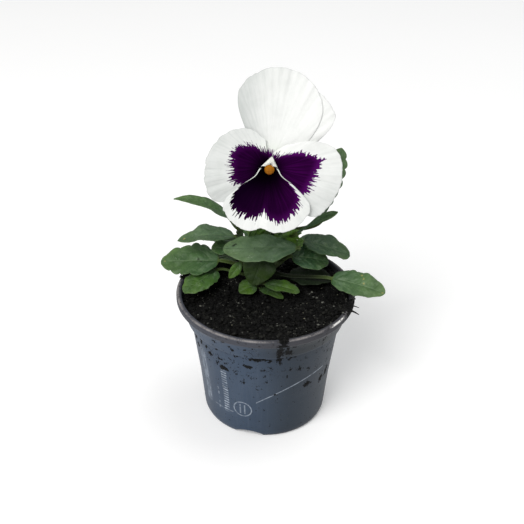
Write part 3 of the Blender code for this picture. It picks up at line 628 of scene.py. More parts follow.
def leaf_finish(name, under=False, fresh_brightened=False):
    """A veined leaf, with painted highlight streaks, painted shade towards its stalk and painted light
    towards its tip, and nearly black painted shade where it lies in shadow. Its underside is paler and
    duller; the lighter fresh colours, for stipules, bracts and the bud, are painted lighter to make up for
    the shade they sit in.
    """
    leaf = Finish(name)
    along, away, vein = leaf.parts(leaf.attribute("pattern"))
    young, cool, pale = leaf.parts(leaf.attribute("tone"))
    spot, deep, fleck = leaf.parts(leaf.attribute("mark"))
    place = leaf.object_place()
    cloud = leaf.noise(place, 150.0, 3.0)
    blotch = leaf.noise(place, 420.0, 2.0)
    sheen_streak = leaf.noise(leaf.vector(vein * 0.9, away * 1.6, along * 2.0), 1.6, 2.0)
    fine = leaf.noise(place, 1500.0, 2.0)
    net = leaf.cells(place, 1300.0, "DISTANCE_TO_EDGE").between(0.10, 0.0)
    side = abs(away)
    blade = along.between(0.0, 0.04)
    ribs = vein.math("PINGPONG", 0.5).between(0.08, 0.01) * (1.0 - side * 0.7)
    midrib = side.between(0.06, 0.015)
    veins = (ribs * 0.45).most(midrib) * blade * (1.0 - pale * 0.55)
    dry = (spot + (blotch - 0.5) * 1.4 + (fine - 0.5) * 0.8).between(0.45, 0.8)
    dots = (fine + fleck * 0.12).between(0.74, 0.79) * fleck.between(0.1, 0.4)
    first, second = colour(0.036, 0.098, 0.024), colour(0.088, 0.200, 0.008)
    # fresh yellow-green, painted lighter to make up for the shade these parts sit in
    if fresh_brightened:
        first, second = colour(0.100, 0.195, 0.068), colour(0.125, 0.270, 0.016)
    base = leaf.coats(
        leaf.mix(young, first, second),
        (cool, 0.023, 0.070, 0.030),
        (pale, 0.100, 0.168, 0.086),
        # painted shade towards the stalk, and painted light towards the tip and the edges
        (along.between(0.62, 0.02) * 0.5, 0.020, 0.062, 0.032),
        (along.between(0.45, 1.0) * side.between(-0.3, 1.0) * 0.45, 0.145, 0.225, 0.065),
        (cloud.between(0.35, 0.68) * 0.55, 0.022, 0.062, 0.018),
        # painted highlight: pale sheen streaks across the blade
        (sheen_streak.between(0.50, 0.75) * 0.4, 0.180, 0.255, 0.155),
        (blotch.between(0.5, 0.76) * 0.4, 0.120, 0.200, 0.080),
        (net * 0.12, 0.090, 0.160, 0.060),
        (veins * 0.40, 0.160, 0.250, 0.110),
        (side.between(0.93, 1.0) * blade * 0.3, 0.130, 0.200, 0.070),
        (1.0 - blade, 0.062, 0.098, 0.018),
        (dry * 0.65, 0.380, 0.340, 0.110),
        (dots * 0.65, 0.420, 0.470, 0.360),
    )
    if under:
        base = leaf.mix(0.5, base, colour(0.090, 0.165, 0.060))
    # painted shade: leaves, stalks and holes that lie in shadow go nearly black
    base = leaf.mix(deep, base, colour(0.003, 0.007, 0.001))
    relief = (1.0 - veins) * 0.4 + fine * 0.2 + blotch * 0.9 + cloud * 0.9 + sheen_streak * 0.8 - net * 0.1
    shine = 0.60 if under else 0.30
    return leaf.paint(
        Base_Color=base,
        Roughness=shine + cloud * 0.16 + dry * 0.3 + deep * 0.3,
        Normal=leaf.bump(relief, 0.00045, 0.85),
        Specular_IOR_Level=0.32,
    )


def petal_finish(name, back):
    """A soft white petal with painted grey shade on its white, and its dark feathered blotch, which hardly
    shows through at the back.
    """
    petal = Finish(name)
    angle, radius, inside = petal.parts(petal.attribute("pattern"))
    margin, dusk, share = petal.parts(petal.attribute("tone"))
    grey, throat, steep = petal.parts(petal.attribute("mark"))
    place = petal.object_place()
    rays = petal.noise(petal.vector(angle * 0.20, radius * 0.02), 1.0, 1.0)
    reach = petal.noise(petal.vector(angle * 0.10, radius * 0.02, 7.0), 1.0, 1.0)
    broad = petal.noise(petal.vector(angle * 0.05, 3.0), 1.0, 1.0)
    veins = petal.noise(petal.vector(angle * 0.40, radius * 0.05, 9.0), 1.0, 3.0, 0.6)
    cloud = petal.noise(place, 190.0, 3.0)
    ragged = petal.noise(place, 800.0, 2.0)
    frayed = petal.noise(petal.vector(angle * 0.9, radius * 0.5, 4.0), 1.0, 1.0)
    grain = petal.noise(place, 2600.0, 2.0)
    slant = radius * 0.80 - angle * steep.math("SIGN") * 0.25
    barbs = petal.noise(petal.vector(slant, angle * 0.04, 2.0), 1.0, 1.0)
    steepness = abs(steep)
    coarse = (angle * 0.24 + rays * 2.6).math("PINGPONG", 0.5) * 2.0 - 0.5
    fine = (angle * 0.62 + rays * 3.4).math("PINGPONG", 0.5) * 2.0 - 0.5
    feather = coarse * (0.5 + reach.between(0.35, 0.65) * 3.4) + fine * (0.5 + reach * 1.2)
    feather = feather + (broad - 0.5) * 2.4 + (ragged - 0.5) * 2.2
    feather = feather + (frayed - 0.5) * 3.6 * (1.0 - steepness * 0.8)
    feather = feather + (barbs - 0.45) * steepness * 9.0
    edge_line = margin.between(0.05, 0.28).most(radius.between(4.4, 3.4))
    dark = (inside + feather).between(-0.14, 0.14) * edge_line
    white = petal.coats(
        colour(0.82, 0.83, 0.815),
        # painted shade: grey darkens the white where the petal is shaded, on its folds and at its very edge
        (veins.between(0.42, 0.72) * (0.05 + grey * 0.8), 0.52, 0.55, 0.53),
        (cloud.between(0.35, 0.75) * (0.1 + grey * 0.5), 0.57, 0.60, 0.57),
        (grey * 0.9, 0.44, 0.465, 0.455),
        (radius.between(16.0, 7.0) * 0.3, 0.68, 0.76, 0.62),
        (share.between(0.98, 1.0) * grey * 0.4, 0.42, 0.44, 0.42),
    )
    if back:
        base = petal.mix(dark * 0.16, white, colour(0.300, 0.200, 0.360))
    else:
        deep = petal.coats(
            colour(0.080, 0.0048, 0.110),
            (inside.between(-0.5, 5.0), 0.0175, 0.0006, 0.0240),
            (veins.between(0.4, 0.7) * 0.5, 0.054, 0.0016, 0.072),
            (dusk, 0.0045, 0.0003, 0.0075),
            (throat, 0.0006, 0.0001, 0.0008),
        )
        base = petal.mix(dark, white, deep)
    relief = veins * 0.6 + rays * 0.6 + cloud * 1.1 + grain * 0.15
    return petal.paint(
        Base_Color=base,
        Roughness=0.66 + grain * 0.12,
        Normal=petal.bump(relief, 0.00028, 0.8),
        Specular_IOR_Level=0.0,
    )


def stem_finish():
    """Fresh green stems with fine lengthwise lines, brown where they leave the soil."""
    stem = Finish("stem_skin")
    place = stem.object_place()
    cloud = stem.noise(place, 160.0, 2.0)
    _, _, height = stem.parts(place)
    drawn_out = stem.node("ShaderNodeMapping", {}, {"Vector": place, "Scale": (1800, 1800, 90)})
    lines = stem.noise(drawn_out, 1.0, 1.0)
    base = stem.coats(
        colour(0.050, 0.095, 0.018),
        (cloud.between(0.3, 0.7), 0.080, 0.135, 0.030),
        (height.between(0.084, 0.068) * 0.7, 0.040, 0.032, 0.014),
        (lines.between(0.4, 0.7) * 0.25, 0.130, 0.200, 0.060),
    )
    return stem.paint(Base_Color=base, Roughness=0.42 + cloud * 0.15, Normal=stem.bump(lines, 0.0001, 0.6))


def eye_finish():
    """The orange pistil head, browner at its foot."""
    eye = Finish("eye_orange")
    place = eye.object_place()
    grain = eye.noise(place, 1400.0, 2.0)
    _, _, share = eye.parts(eye.attribute("pattern"))
    base = eye.mix(share, colour(0.140, 0.032, 0.0006), colour(0.330, 0.120, 0.003))
    base = eye.mix(grain.between(0.4, 0.8) * 0.3, base, colour(0.420, 0.190, 0.010))
    return eye.paint(
        Base_Color=base,
        Roughness=0.6 + grain * 0.1,
        Normal=eye.bump(grain, 0.0002, 0.6),
        Specular_IOR_Level=0.12,
    )


def beard_finish():
    """The white woolly hairs over the eye."""
    beard = Finish("beard_white")
    grain = beard.noise(beard.object_place(), 3000.0, 1.0)
    base = beard.mix(grain.between(0.4, 0.8) * 0.4, colour(0.92, 0.93, 0.88), colour(0.86, 0.84, 0.68))
    return beard.paint(Base_Color=base, Roughness=0.55 + grain * 0.15, Subsurface_Weight=0.1)


def soil_finish():
    """Near-black peat; crumbs carry their own tone, from black through grey to a few pale grains."""
    soil = Finish("soil_peat")
    tone, _, _ = soil.parts(soil.attribute("tone"))
    place = soil.object_place()
    cloud = soil.noise(place, 300.0, 3.0, 0.6)
    fine = soil.noise(place, 1100.0, 3.0, 0.7)
    pits = soil.cells(place, 1100.0)
    damp = soil.noise(place, 75.0, 2.0).between(0.44, 0.60)
    base = soil.coats(
        colour(0.0010, 0.0011, 0.0008),
        (tone.between(0.60, 0.85), 0.0200, 0.0200, 0.0165),
        (tone.between(0.88, 0.92), 0.170, 0.172, 0.150),
        (tone.between(0.97, 0.99), 0.420, 0.405, 0.300),
        (fine.between(0.60, 0.69) * 0.8, 0.095, 0.098, 0.086),
        ((cloud - 0.01 + damp * 0.12).between(0.40, 0.56) * 0.95, 0.0005, 0.0005, 0.0004),
    )
    relief = fine * 0.8 + pits * 0.5 + cloud
    return soil.paint(
        Base_Color=base,
        Roughness=0.5 + fine * 0.4,
        Normal=soil.bump(relief, 0.0008, 1.0),
        Specular_IOR_Level=0.2,
    )


def pot_marks(pot, turn, height):
    """Plain pale markings: stripes, ticks, dashes, a ring with two bars, and a curved line."""
    faded = pot.noise(pot.vector(turn * 0.10, height * 0.22), 1.0, 2.0).between(0.36, 0.60)
    low = height.between(12.5, 13.5)
    stripes = turn.repeated(2.3, 0.42).between(0.0, 0.4) * turn.near(-148.5, 6.5).between(0.05, 0.5)
    stripes = stripes * height.between(12.0, 14.0) * height.between(50.0, 42.0)
    ticks = height.repeated(1.7, 0.40).between(0.0, 0.5) * turn.near(-125.0, 3.6).between(0.05, 0.3)
    ticks = ticks * low * height.between(42.5, 41.0)
    column = height.repeated(3.1, 0.42).between(0.0, 0.3) * turn.near(-133.5, 1.3).between(0.05, 0.4)
    column = column * low * height.between(29.0, 27.5)
    dash = turn.near(-129.0, 12.0).between(0.0, 0.1) * height.near(14.2, 0.5)
    across = (turn - RING_TURN) * (math.pi / 180 * RING_WALL)
    up = height - RING_HEIGHT
    ring = ((across * across + up * up) ** 0.5).near(RING_RADIUS, 0.5)
    bars = abs(across).near(1.2, 0.6) * abs(up).between(3.4, 2.8)
    sweep = (turn - LINE_TURN) / LINE_REACH
    line = (height - (LINE_HEIGHT + 6.95 * sweep - 3.55 * sweep * sweep)).near(0.0, 0.6)
    line = line * abs(sweep).between(1.02, 0.98)
    return (stripes * (0.35 + faded * 0.5)).most(
        ticks * (0.4 + faded * 0.6), column * faded * 0.6, dash * 0.6, ring * 0.85, bars * 0.65, line * 0.85
    )


def pot_finish():
    """Satin blue-grey plastic with a worn rim, scratches and stuck soil, with painted shade on its right side
    and collar, painted reflection streaks and a painted highlight along the rim's edge.
    """
    pot = Finish("pot_satin")
    place = pot.object_place()
    x, y, z = pot.parts(place)
    height = z / MM
    turn = y.math("ARCTAN2", x) * (180 / math.pi)
    radius = (x * x + y * y) ** 0.5 / MM
    soiled, _, _ = pot.parts(pot.attribute("pattern"))
    cloud = pot.noise(place, 45.0, 3.0)
    fine = pot.noise(place, 1300.0, 3.0, 0.6)
    lump = pot.noise(place, 520.0, 2.0)
    patch = pot.noise(place, 110.0, 2.0)
    # painted reflections: soft lighter streaks that run up the wall
    reflection_streaks = pot.noise(pot.vector(turn * 0.35, height * 0.02), 1.0, 3.0)
    # painted shade: the pot's right side is painted darker, fading out towards the back
    painted_side_shade = turn.between(-110.0, -64.0) * turn.between(105.0, 25.0)
    rim = height.between(65.9, 66.5)
    # wear with a painted highlight: a thin pale line along the rim's top outer edge, where it catches the
    # light
    wear_and_highlight = height.between(69.3, 69.8) * radius.between(43.2, 44.2)
    wear_and_highlight = wear_and_highlight * (fine * 0.6 + patch * 0.8).between(0.5, 0.8)
    # a white scuff at the rim's front edge, painted bright as its highlight
    scuff_and_glint = turn.near(-38.0, 9.0).between(0.0, 0.3) * height.between(69.2, 69.6)
    scuff_and_glint = scuff_and_glint * radius.between(44.0, 44.4) * (lump + fine * 0.5).between(0.62, 0.74)
    grime = rim * (fine * 0.5 + lump * 0.6).between(0.60, 0.72)
    wear = (lump * 0.6 + fine * 0.6).between(0.42, 0.70)
    scratch = pot.noise(pot.vector(turn * 0.05, height * 1.6), 1.0, 4.0, 0.75).between(0.66, 0.74)
    dust = (fine + lump * 0.4).between(0.80, 0.95)
    spatter = height.between(28.0, 46.0) * height.between(65.5, 63.0) * patch.between(0.44, 0.62)
    spatter = spatter * (lump * 0.55 + fine * 0.65).between(0.675, 0.70)
    dirt = (soiled + (lump - 0.5) * 1.8 + (fine - 0.5) * 1.7).between(0.44, 0.52).most(spatter)
    base = pot.coats(
        colour(0.032, 0.053, 0.090),
        (cloud.between(0.3, 0.7), 0.047, 0.071, 0.112),
        # painted reflection streaks
        (reflection_streaks.between(0.5, 0.8) * 0.3, 0.075, 0.104, 0.148),
        # painted shade on the right side, and darker still on the collar under the rim
        (painted_side_shade * 0.75, 0.011, 0.018, 0.026),
        (height.between(56.5, 58.0) * painted_side_shade * 0.7, 0.006, 0.010, 0.013),
        (rim * 0.8, 0.052, 0.051, 0.059),
        # rim wear and its painted highlight
        (wear_and_highlight * 0.75, 0.300, 0.280, 0.275),
        # scuff with a painted highlight
        (scuff_and_glint, 0.800, 0.790, 0.770),
        (grime * 0.75, 0.012, 0.010, 0.009),
        (pot_marks(pot, turn, height) * (0.2 + wear * 0.8), 0.340, 0.390, 0.460),
        (scratch * 0.2, 0.120, 0.145, 0.180),
        (dust * 0.2, 0.140, 0.140, 0.130),
        (dirt * 0.95, 0.003, 0.003, 0.003),
    )
    relief = fine * 0.22 + dirt * 1.1 - scratch * 0.25
    return pot.paint(
        Base_Color=base,
        Roughness=0.40 + cloud * 0.1 + dirt * 0.45 + rim * 0.08,
        Normal=pot.bump(relief, 0.0002, 0.6),
        Specular_IOR_Level=0.2,
    )


def floor_finish():
    """A white studio floor, which glows a little so that it reads as plain white."""
    floor = Finish("floor_pale")
    cloud = floor.noise(floor.object_place(), 6.0, 2.0)
    return floor.paint(
        Base_Color=floor.mix(cloud, colour(0.93, 0.93, 0.93), colour(0.95, 0.95, 0.95)),
        Roughness=0.9,
        Emission_Color=colour(1.0, 1.0, 1.0),
        Emission_Strength=FLOOR_GLOW,
    )


def add_object(name, mesh, finishes):
    obj = bpy.data.objects.new(name, mesh)
    bpy.context.scene.collection.objects.link(obj)
    for finish in finishes:
        mesh.materials.append(finish)
    return obj


def grown(obj, slot, *nodes):
    """Fixes a finished piece to the plant's one body, in place of the plain nodes it stands for."""
    obj.data.shade_smooth()
    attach(obj, "root")
    if nodes:
        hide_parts(*nodes)


def mesh_from(shape, name):
    mesh = bpy.data.meshes.new(name)
    shape.to_mesh(mesh)
    shape.free()
    return mesh


def marked(mesh, kind, value_at):
    """Gives each point of a mesh three numbers that its material reads as the attribute kind."""
    shape = bmesh.new()
    shape.from_mesh(mesh)
    layer = shape.verts.layers.float_vector.new(kind)
    for vertex in shape.verts:
        vertex[layer] = value_at(vertex.co)
    shape.to_mesh(mesh)
    shape.free()
    return mesh


def baked(obj):
    """A new mesh of what the object's curve or modifiers make; the object is removed."""
    graph = bpy.context.evaluated_depsgraph_get()
    mesh = bpy.data.meshes.new_from_object(obj.evaluated_get(graph))
    bpy.data.objects.remove(obj)
    shape = bmesh.new()
    shape.from_mesh(mesh)
    bmesh.ops.remove_doubles(shape, verts=shape.verts, dist=WELD * MM)
    shape.to_mesh(mesh)
    shape.free()
    return mesh


def smooth_between(knots, values, x):
    """The value at x on a smooth curve through (knots, values)."""
    i = min(max(int(np.searchsorted(knots, x)) - 1, 0), len(knots) - 2)
    low, high = values[max(i - 1, 0)], values[min(i + 2, len(values) - 1)]
    t = (x - knots[i]) / (knots[i + 1] - knots[i])
    a, b = values[i], values[i + 1]
    square = 2 * low - 5 * a + 4 * b - high
    cube = 3 * a - low - 3 * b + high
    return a + (b - low) * t / 2 + square * t**2 / 2 + cube * t**3 / 2


def smooth_path(points, count):
    """count points spaced along a smooth curve through the given ones."""
    knots = list(range(len(points)))
    ends = np.linspace(0, len(points) - 1, count)
    return [Vector([smooth_between(knots, [p[k] for p in points], x) for k in range(3)]) for x in ends]


def rods(name, lines, sides_level):
    """Round rods as one closed mesh: each line is a list of (point in millimetres, radius)."""
    curve = bpy.data.curves.new(name, "CURVE")
    curve.dimensions = "3D"
    curve.bevel_depth = MM
    curve.bevel_resolution = sides_level
    curve.use_fill_caps = True
    for line in lines:
        spline = curve.splines.new("POLY")
        spline.points.add(len(line) - 1)
        for place, (point, radius) in zip(spline.points, line):
            place.co = (*to_metres(point), 1.0)
            place.radius = radius
    return baked(add_object(name, curve, ()))


def spun(profile, segments):
    """A turned closed solid: the profile runs in millimetres from the axis back to the axis."""
    shape = bmesh.new()
    line = [shape.verts.new((r * MM, 0.0, z * MM)) for r, z in profile]
    edges = [shape.edges.new(pair) for pair in zip(line, line[1:])]
    bmesh.ops.spin(
        shape,
        geom=line + edges,
        cent=(0, 0, 0),
        axis=(0, 0, 1),
        angle=math.tau,
        steps=segments,
        use_merge=True,
    )
    bmesh.ops.remove_doubles(shape, verts=shape.verts, dist=WELD * MM)
    bmesh.ops.recalc_face_normals(shape, faces=shape.faces)
    return shape


def soft_sheet(name, rows, columns, place, thickness, finishes):
    """A thin grown sheet. place gives each grid point, from shares 0 to 1 along and -1 to 1 across."""
    shape = bmesh.new()
    bmesh.ops.create_grid(shape, x_segments=rows, y_segments=columns, size=0.5)
    layers = [shape.verts.layers.float_vector.new(kind) for kind in ("pattern", "tone", "mark")]
    thick = shape.verts.layers.deform.verify()
    for vertex in shape.verts:
        spot = place(vertex.co.x + 0.5, vertex.co.y * 2)
        vertex.co = to_metres(spot.point)
        for layer, value in zip(layers, (spot.pattern, spot.tone, spot.mark)):
            vertex[layer] = value
        vertex[thick][0] = held(spot.thick, 0.02)
    sheet = add_object(name, mesh_from(shape, name), finishes)
    sheet.vertex_groups.new(name="thick")
    shell = sheet.modifiers.new("thickness", "SOLIDIFY")
    shell.thickness = thickness * MM
    shell.offset = 0.0
    shell.vertex_group = "thick"
    shell.thickness_vertex_group = 0.05
    shell.material_offset = len(finishes) - 1
    return sheet


def dense(profile, step):
    """The same profile with its long stretches divided into steps no longer than step."""
    points = [profile[0]]
    for (r0, z0), (r1, z1) in zip(profile, profile[1:]):
        count = max(math.ceil(math.hypot(r1 - r0, z1 - z0) / step), 1)
        points += [(r0 + (r1 - r0) * i / count, z0 + (z1 - z0) * i / count) for i in range(1, count + 1)]
    return points


def pot_outside():
    return [
        (0.0, 0.0),
        (PAD_RADIUS, 0.0),
        (PAD_RADIUS + 1.0, FLOOR_LIFT),
        (FOOT_RADIUS - 4.8, FLOOR_LIFT),
        (FOOT_RADIUS - 4.0, 0.0),
        (FOOT_RADIUS, 0.0),
        (FOOT_RADIUS + 1.4, 0.7),
        (FOOT_RADIUS + 2.1, 2.3),
        (HEEL_RADIUS, HEEL_HEIGHT),
        (WAIST_RADIUS, WAIST_HEIGHT),
        (SHOULDER_RADIUS, SHOULDER_HEIGHT),
        (SHOULDER_RADIUS + SHOULDER_STEP, SHOULDER_HEIGHT + 1.0),
        (RIM_RADIUS - 3.2, POT_HEIGHT - 7.5),
        (RIM_RADIUS - 1.6, POT_HEIGHT - 3.9),
        (RIM_RADIUS - 0.4, POT_HEIGHT - 3.6),
        (RIM_RADIUS, POT_HEIGHT - 3.0),
        (RIM_RADIUS, POT_HEIGHT - 0.8),
        (RIM_RADIUS - 0.6, POT_HEIGHT),
    ]


def pot_inside():
    return [
        (RIM_RADIUS - RIM_WIDTH + 0.4, POT_HEIGHT),
        (RIM_RADIUS - RIM_WIDTH, POT_HEIGHT - 0.6),
        (RIM_RADIUS - RIM_WIDTH - 0.4, POT_HEIGHT - 3.9),
        (RIM_RADIUS - 3.2 - WALL, POT_HEIGHT - 7.3),
        (SHOULDER_RADIUS + SHOULDER_STEP - WALL, SHOULDER_HEIGHT + 1.6),
        (SHOULDER_RADIUS - WALL, SHOULDER_HEIGHT + 0.6),
        (WAIST_RADIUS - WALL, WAIST_HEIGHT),
        (HEEL_RADIUS - WALL, HEEL_HEIGHT + 0.4),
        (FOOT_RADIUS + 1.2, FLOOR_LIFT + WALL),
        (0.0, FLOOR_LIFT + WALL),
    ]


def foot_and_drain_cutter():
    """Rounded openings under the foot ring, and the drain holes through the floor."""
    shape = bmesh.new()
    for i in range(ARCH_COUNT):
        made = bmesh.ops.create_cone(
            shape, cap_ends=True, segments=48, radius1=0.5, radius2=0.5, depth=12 * MM
        )
        place = (
            Matrix.Rotation(math.radians(ARCH_TURN + i * 360 / ARCH_COUNT), 4, "Z")
            @ Matrix.Translation(to_metres((FOOT_RADIUS - 1.0, 0, 0)))
            @ Matrix.Diagonal((1, ARCH_WIDTH * MM, 2 * ARCH_HEIGHT * MM, 1))
            @ Matrix.Rotation(math.pi / 2, 4, "Y")
        )
        bmesh.ops.transform(shape, matrix=place, verts=made["verts"])
    for i in range(DRAIN_COUNT):
        centre = polar(DRAIN_CIRCLE, math.tau * i / DRAIN_COUNT, FLOOR_LIFT + WALL / 2)
        bmesh.ops.create_cone(
            shape,
            cap_ends=True,
            segments=40,
            radius1=DRAIN_RADIUS * MM,
            radius2=DRAIN_RADIUS * MM,
            depth=4 * MM,
            matrix=Matrix.Translation(to_metres(centre)),
        )
    return add_object("foot_and_drain_cutter", mesh_from(shape, "foot_and_drain_cutter"), ())


def wall_point(turn, height):
    """A point on the pot's outer wall, turn degrees round it."""
    wall = pot_outside()[5:]
    radius = np.interp(height, [z for _, z in wall], [r for r, _ in wall])
    return polar(radius, math.radians(turn), height)


def soiled_at(x, y, z):
    """How much soil sticks to the pot's outside at a point in millimetres."""
    turn = math.degrees(math.atan2(y, x))
    radius = math.hypot(x, y)
    total = 0.0
    for middle, height, half_width, half_height, strength in SMEARS:
        across = math.radians(turned_past(turn, middle)) * radius / half_width
        up = (z - height) / half_height
        total += strength * math.exp(-across * across - up * up)
    for middle, half in RIM_HEAPS:
        total += 1.2 * hill(turned_past(turn, middle) / half) * held((z - 65.0) / 2.0)
    return total if radius > FOOT_RADIUS else 0.0


def build_pot(finish):
    """The moulded pot with rounded edges, carrying how soiled it is at each point."""
    profile = dense(pot_outside(), POT_ROW) + dense(pot_inside(), 3 * POT_ROW)
    pot = add_object("pot_moulded", mesh_from(spun(profile, POT_SEGMENTS), "pot_moulded"), ())
    cutter = foot_and_drain_cutter()
    difference = pot.modifiers.new("openings", "BOOLEAN")
    difference.operation = "DIFFERENCE"
    difference.object = cutter
    soften = pot.modifiers.new("soften", "BEVEL")
    soften.width = SOFT_EDGE * MM
    soften.segments = 3
    soften.limit_method = "ANGLE"
    soften.angle_limit = math.radians(SOFT_ANGLE)
    mesh = marked(baked(pot), "pattern", lambda place: (soiled_at(*(place / MM)), 0.0, 0.0))
    bpy.data.objects.remove(cutter)
    grown(add_object("pot_moulded", mesh, (finish,)), "pot_plastic", "pot")


def soil_height(x, y):
    """Level of the soil's surface in millimetres: a shallow dish with lumps."""
    edge = (math.hypot(x, y) / RIM_RADIUS) ** 2
    lumps = cloudy(x / LUMP_SPACING, y / LUMP_SPACING, 3.7)
    crumbs = cloudy(x / CRUMB_SPACING, y / CRUMB_SPACING, 9.1)
    return SOIL_LEVEL + SOIL_EDGE_RISE * edge + SOIL_LUMP * (lumps + crumbs / 2)


def soil_roughness(x, y):
    """Clods, finer lumps, mounds and hollows on the soil, which fade out at the pot's wall."""
    clods = cloudy(x / 5.0, y / 5.0, 1.9)
    lumps = cloudy(x / 2.0, y / 2.0, 5.3)
    grit = cloudy(x / 0.9, y / 0.9, 8.8)
    total = 1.5 * clods + 1.3 * abs(lumps) + 0.55 * grit - 0.3
    for middle_x, middle_y, rise, spread in SOIL_MOUNDS:
        total += rise * math.exp(-((x - middle_x) ** 2 + (y - middle_y) ** 2) / spread)
    return total * min(1.0, (SOIL_RADIUS - math.hypot(x, y)) / 3.0 + 0.15)


def build_soil(finish):
    """The body of soil that fills the pot, with a fine uneven top."""
    wall = [(r - 0.35, z + 0.35) for r, z in reversed(pot_inside()[3:-1])]
    edge = RIM_RADIUS - RIM_WIDTH - 1.0
    top = [(edge * (1 - i / SOIL_RINGS), SOIL_LEVEL) for i in range(SOIL_RINGS + 1)]
    shape = spun([(0.0, wall[0][1]), *wall, *top], SOIL_SEGMENTS)
    tone = shape.verts.layers.float_vector.new("tone")
    for vertex in shape.verts:
        vertex[tone] = (0.3, 0.0, 0.0)
        if vertex.co.z > (SOIL_LEVEL - 0.5) * MM:
            x, y = vertex.co.x / MM, vertex.co.y / MM
            vertex.co.z = (soil_height(x, y) + soil_roughness(x, y)) * MM
            vertex[tone] = (0.35 + 0.5 * cloudy(x / 1.4, y / 1.4, 2.2), 0.0, 0.0)
    grown(add_object("soil_bed", mesh_from(shape, "soil_bed"), (finish,)), "potting_soil", "soil")


def crumb_heap(name, crumbs, finish):
    """Loose crumbs as one piece: each is (centre, size, flatness, up, tone)."""
    draw = random.Random(name)
    gathered = bmesh.new()
    gathered.verts.layers.float_vector.new("tone")
    for start in range(0, len(crumbs), CRUMB_BATCH):
        shape = bmesh.new()
        layer = shape.verts.layers.float_vector.new("tone")
        for centre, size, flatness, up, tone in crumbs[start:start + CRUMB_BATCH]:
            made = bmesh.ops.create_icosphere(shape, subdivisions=1, radius=1.0)["verts"]
            spin = Quaternion(UP, draw.uniform(0, math.tau)).to_matrix().to_4x4()
            stretch = Matrix.Diagonal((draw.uniform(0.7, 1.3), draw.uniform(0.7, 1.1), flatness, 1))
            lean = up.to_track_quat("Z", "Y").to_matrix().to_4x4()
            for vertex in made:
                vertex.co *= draw.uniform(0.72, 1.2)
                vertex[layer] = (tone, 0.0, 0.0)
            scale = Matrix.Diagonal((size * MM, size * MM, size * MM, 1))
            place = Matrix.Translation(to_metres(centre)) @ lean @ scale @ stretch @ spin
            bmesh.ops.transform(shape, matrix=place, verts=made)
        part = mesh_from(shape, name)
        gathered.from_mesh(part)
        bpy.data.meshes.remove(part)
    grown(add_object(name, mesh_from(gathered, name), (finish,)), "potting_soil")


def crumb_tone(draw):
    """Mostly black, some grey, and a few pale grains."""
    pick = draw.random()
    if pick < 0.012:
        return PALE_TONE
    if pick < 0.11:
        return GREY_TONE
    return draw.uniform(0.3, 0.85)


def build_crumbs(finish):
    """Crumbs all over the soil, small ones everywhere and larger ones here and there."""
    draw = random.Random(17)
    crumbs = []
    while len(crumbs) < CRUMB_COUNT:
        x, y = (draw.uniform(-SOIL_RADIUS, SOIL_RADIUS) for _ in range(2))
        if math.hypot(x, y) > CRUMB_REACH:
            continue
        tone = crumb_tone(draw)
        size = 0.25 + 1.35 * draw.random() ** 4
        if tone > 0.9:
            size = draw.uniform(0.25, 0.75) if tone < PALE_TONE else draw.uniform(0.2, 0.5)
        level = soil_height(x, y) + soil_roughness(x, y) + size * 0.25
        crumbs.append((Vector((x, y, level)), size, draw.uniform(0.5, 0.9), UP, tone))
    crumb_heap("soil_crumbs", crumbs, finish)


def build_stuck_soil(finish):
    """Crumbs stuck to the pot's side and heaped on its rim."""
    draw = random.Random(23)
    crumbs = []
    for turn, height, half_width, half_height, strength in SMEARS:
        for _ in range(int(SMEAR_CRUMBS * strength * strength)):
            side = draw.gauss(0, 0.5) * half_width / 38.0
            level = min(height + draw.gauss(0, 0.5) * half_height, POT_HEIGHT - 4.2)
            centre = wall_point(turn + math.degrees(side), level)
            out = Vector((centre.x, centre.y, 0)).normalized()
            crumbs.append((centre, draw.uniform(0.18, 0.5), 0.4, out, draw.uniform(0, 0.7)))
    for turn, half in RIM_HEAPS:
        for _ in range(int(HEAP_CRUMBS * half)):
            share = draw.gauss(0, 0.45)
            angle = math.radians(turn + share * half)
            away = draw.random() ** 1.4
            radius = 41.2 + 4.0 * away
            heap = (1.9 - 0.5 * away) * math.exp(-share * share * 2)
            level = POT_HEIGHT - 1.4 + heap * draw.uniform(0.3, 1.0)
            if radius > RIM_RADIUS - RIM_WIDTH:
                level = max(level, POT_HEIGHT + 0.05)
            centre = polar(radius, angle, level)
            crumbs.append((centre, draw.uniform(0.3, 0.85), 0.7, UP, crumb_tone(draw)))
    crumb_heap("stuck_soil", crumbs, finish)


def build_fibres(finish):
    """Fine peat fibres lying on the soil, and two rootlets that stick out past the rim."""
    draw = random.Random(31)
    lines = []
    while len(lines) < FIBRE_COUNT:
        x, y = (draw.uniform(-FIBRE_FIELD, FIBRE_FIELD) for _ in range(2))
        if math.hypot(x, y) > FIBRE_REACH:
            continue
        heading, bend = draw.uniform(0, math.tau), draw.uniform(-0.5, 0.5)
        length, lift = draw.uniform(1.5, 6.0), draw.uniform(0.1, 0.7)
        radius = draw.uniform(0.06, 0.16)
        line = []
        for share in np.linspace(0.0, 1.0, FIBRE_POINTS):
            px, py = x + math.cos(heading) * length * share, y + math.sin(heading) * length * share
            heading += bend / 2
            level = soil_height(px, py) + soil_roughness(px, py) + lift * math.sin(math.pi * share) + 0.1
            line.append((Vector((px, py, level)), radius * (1 - 0.6 * share)))
        lines.append(line)
    for path, radii in ROOTLETS:
        points = smooth_path(path, ROOTLET_POINTS)
        shares = np.linspace(0.0, 1.0, ROOTLET_POINTS)
        lines.append([(p, np.interp(share, (0, 0.5, 1), radii)) for share, p in zip(shares, points)])
    mesh = rods("soil_fibres", lines, 0)
    marked(mesh, "tone", lambda place: (0.78 + 0.3 * noise.noise(place * 400), 0.0, 0.0))
    grown(add_object("soil_fibres", mesh, (finish,)), "potting_soil")


def stem_line(stem):
    return smooth_path(stem.path, STEM_SPAN_POINTS * (len(stem.path) - 1) + 1)


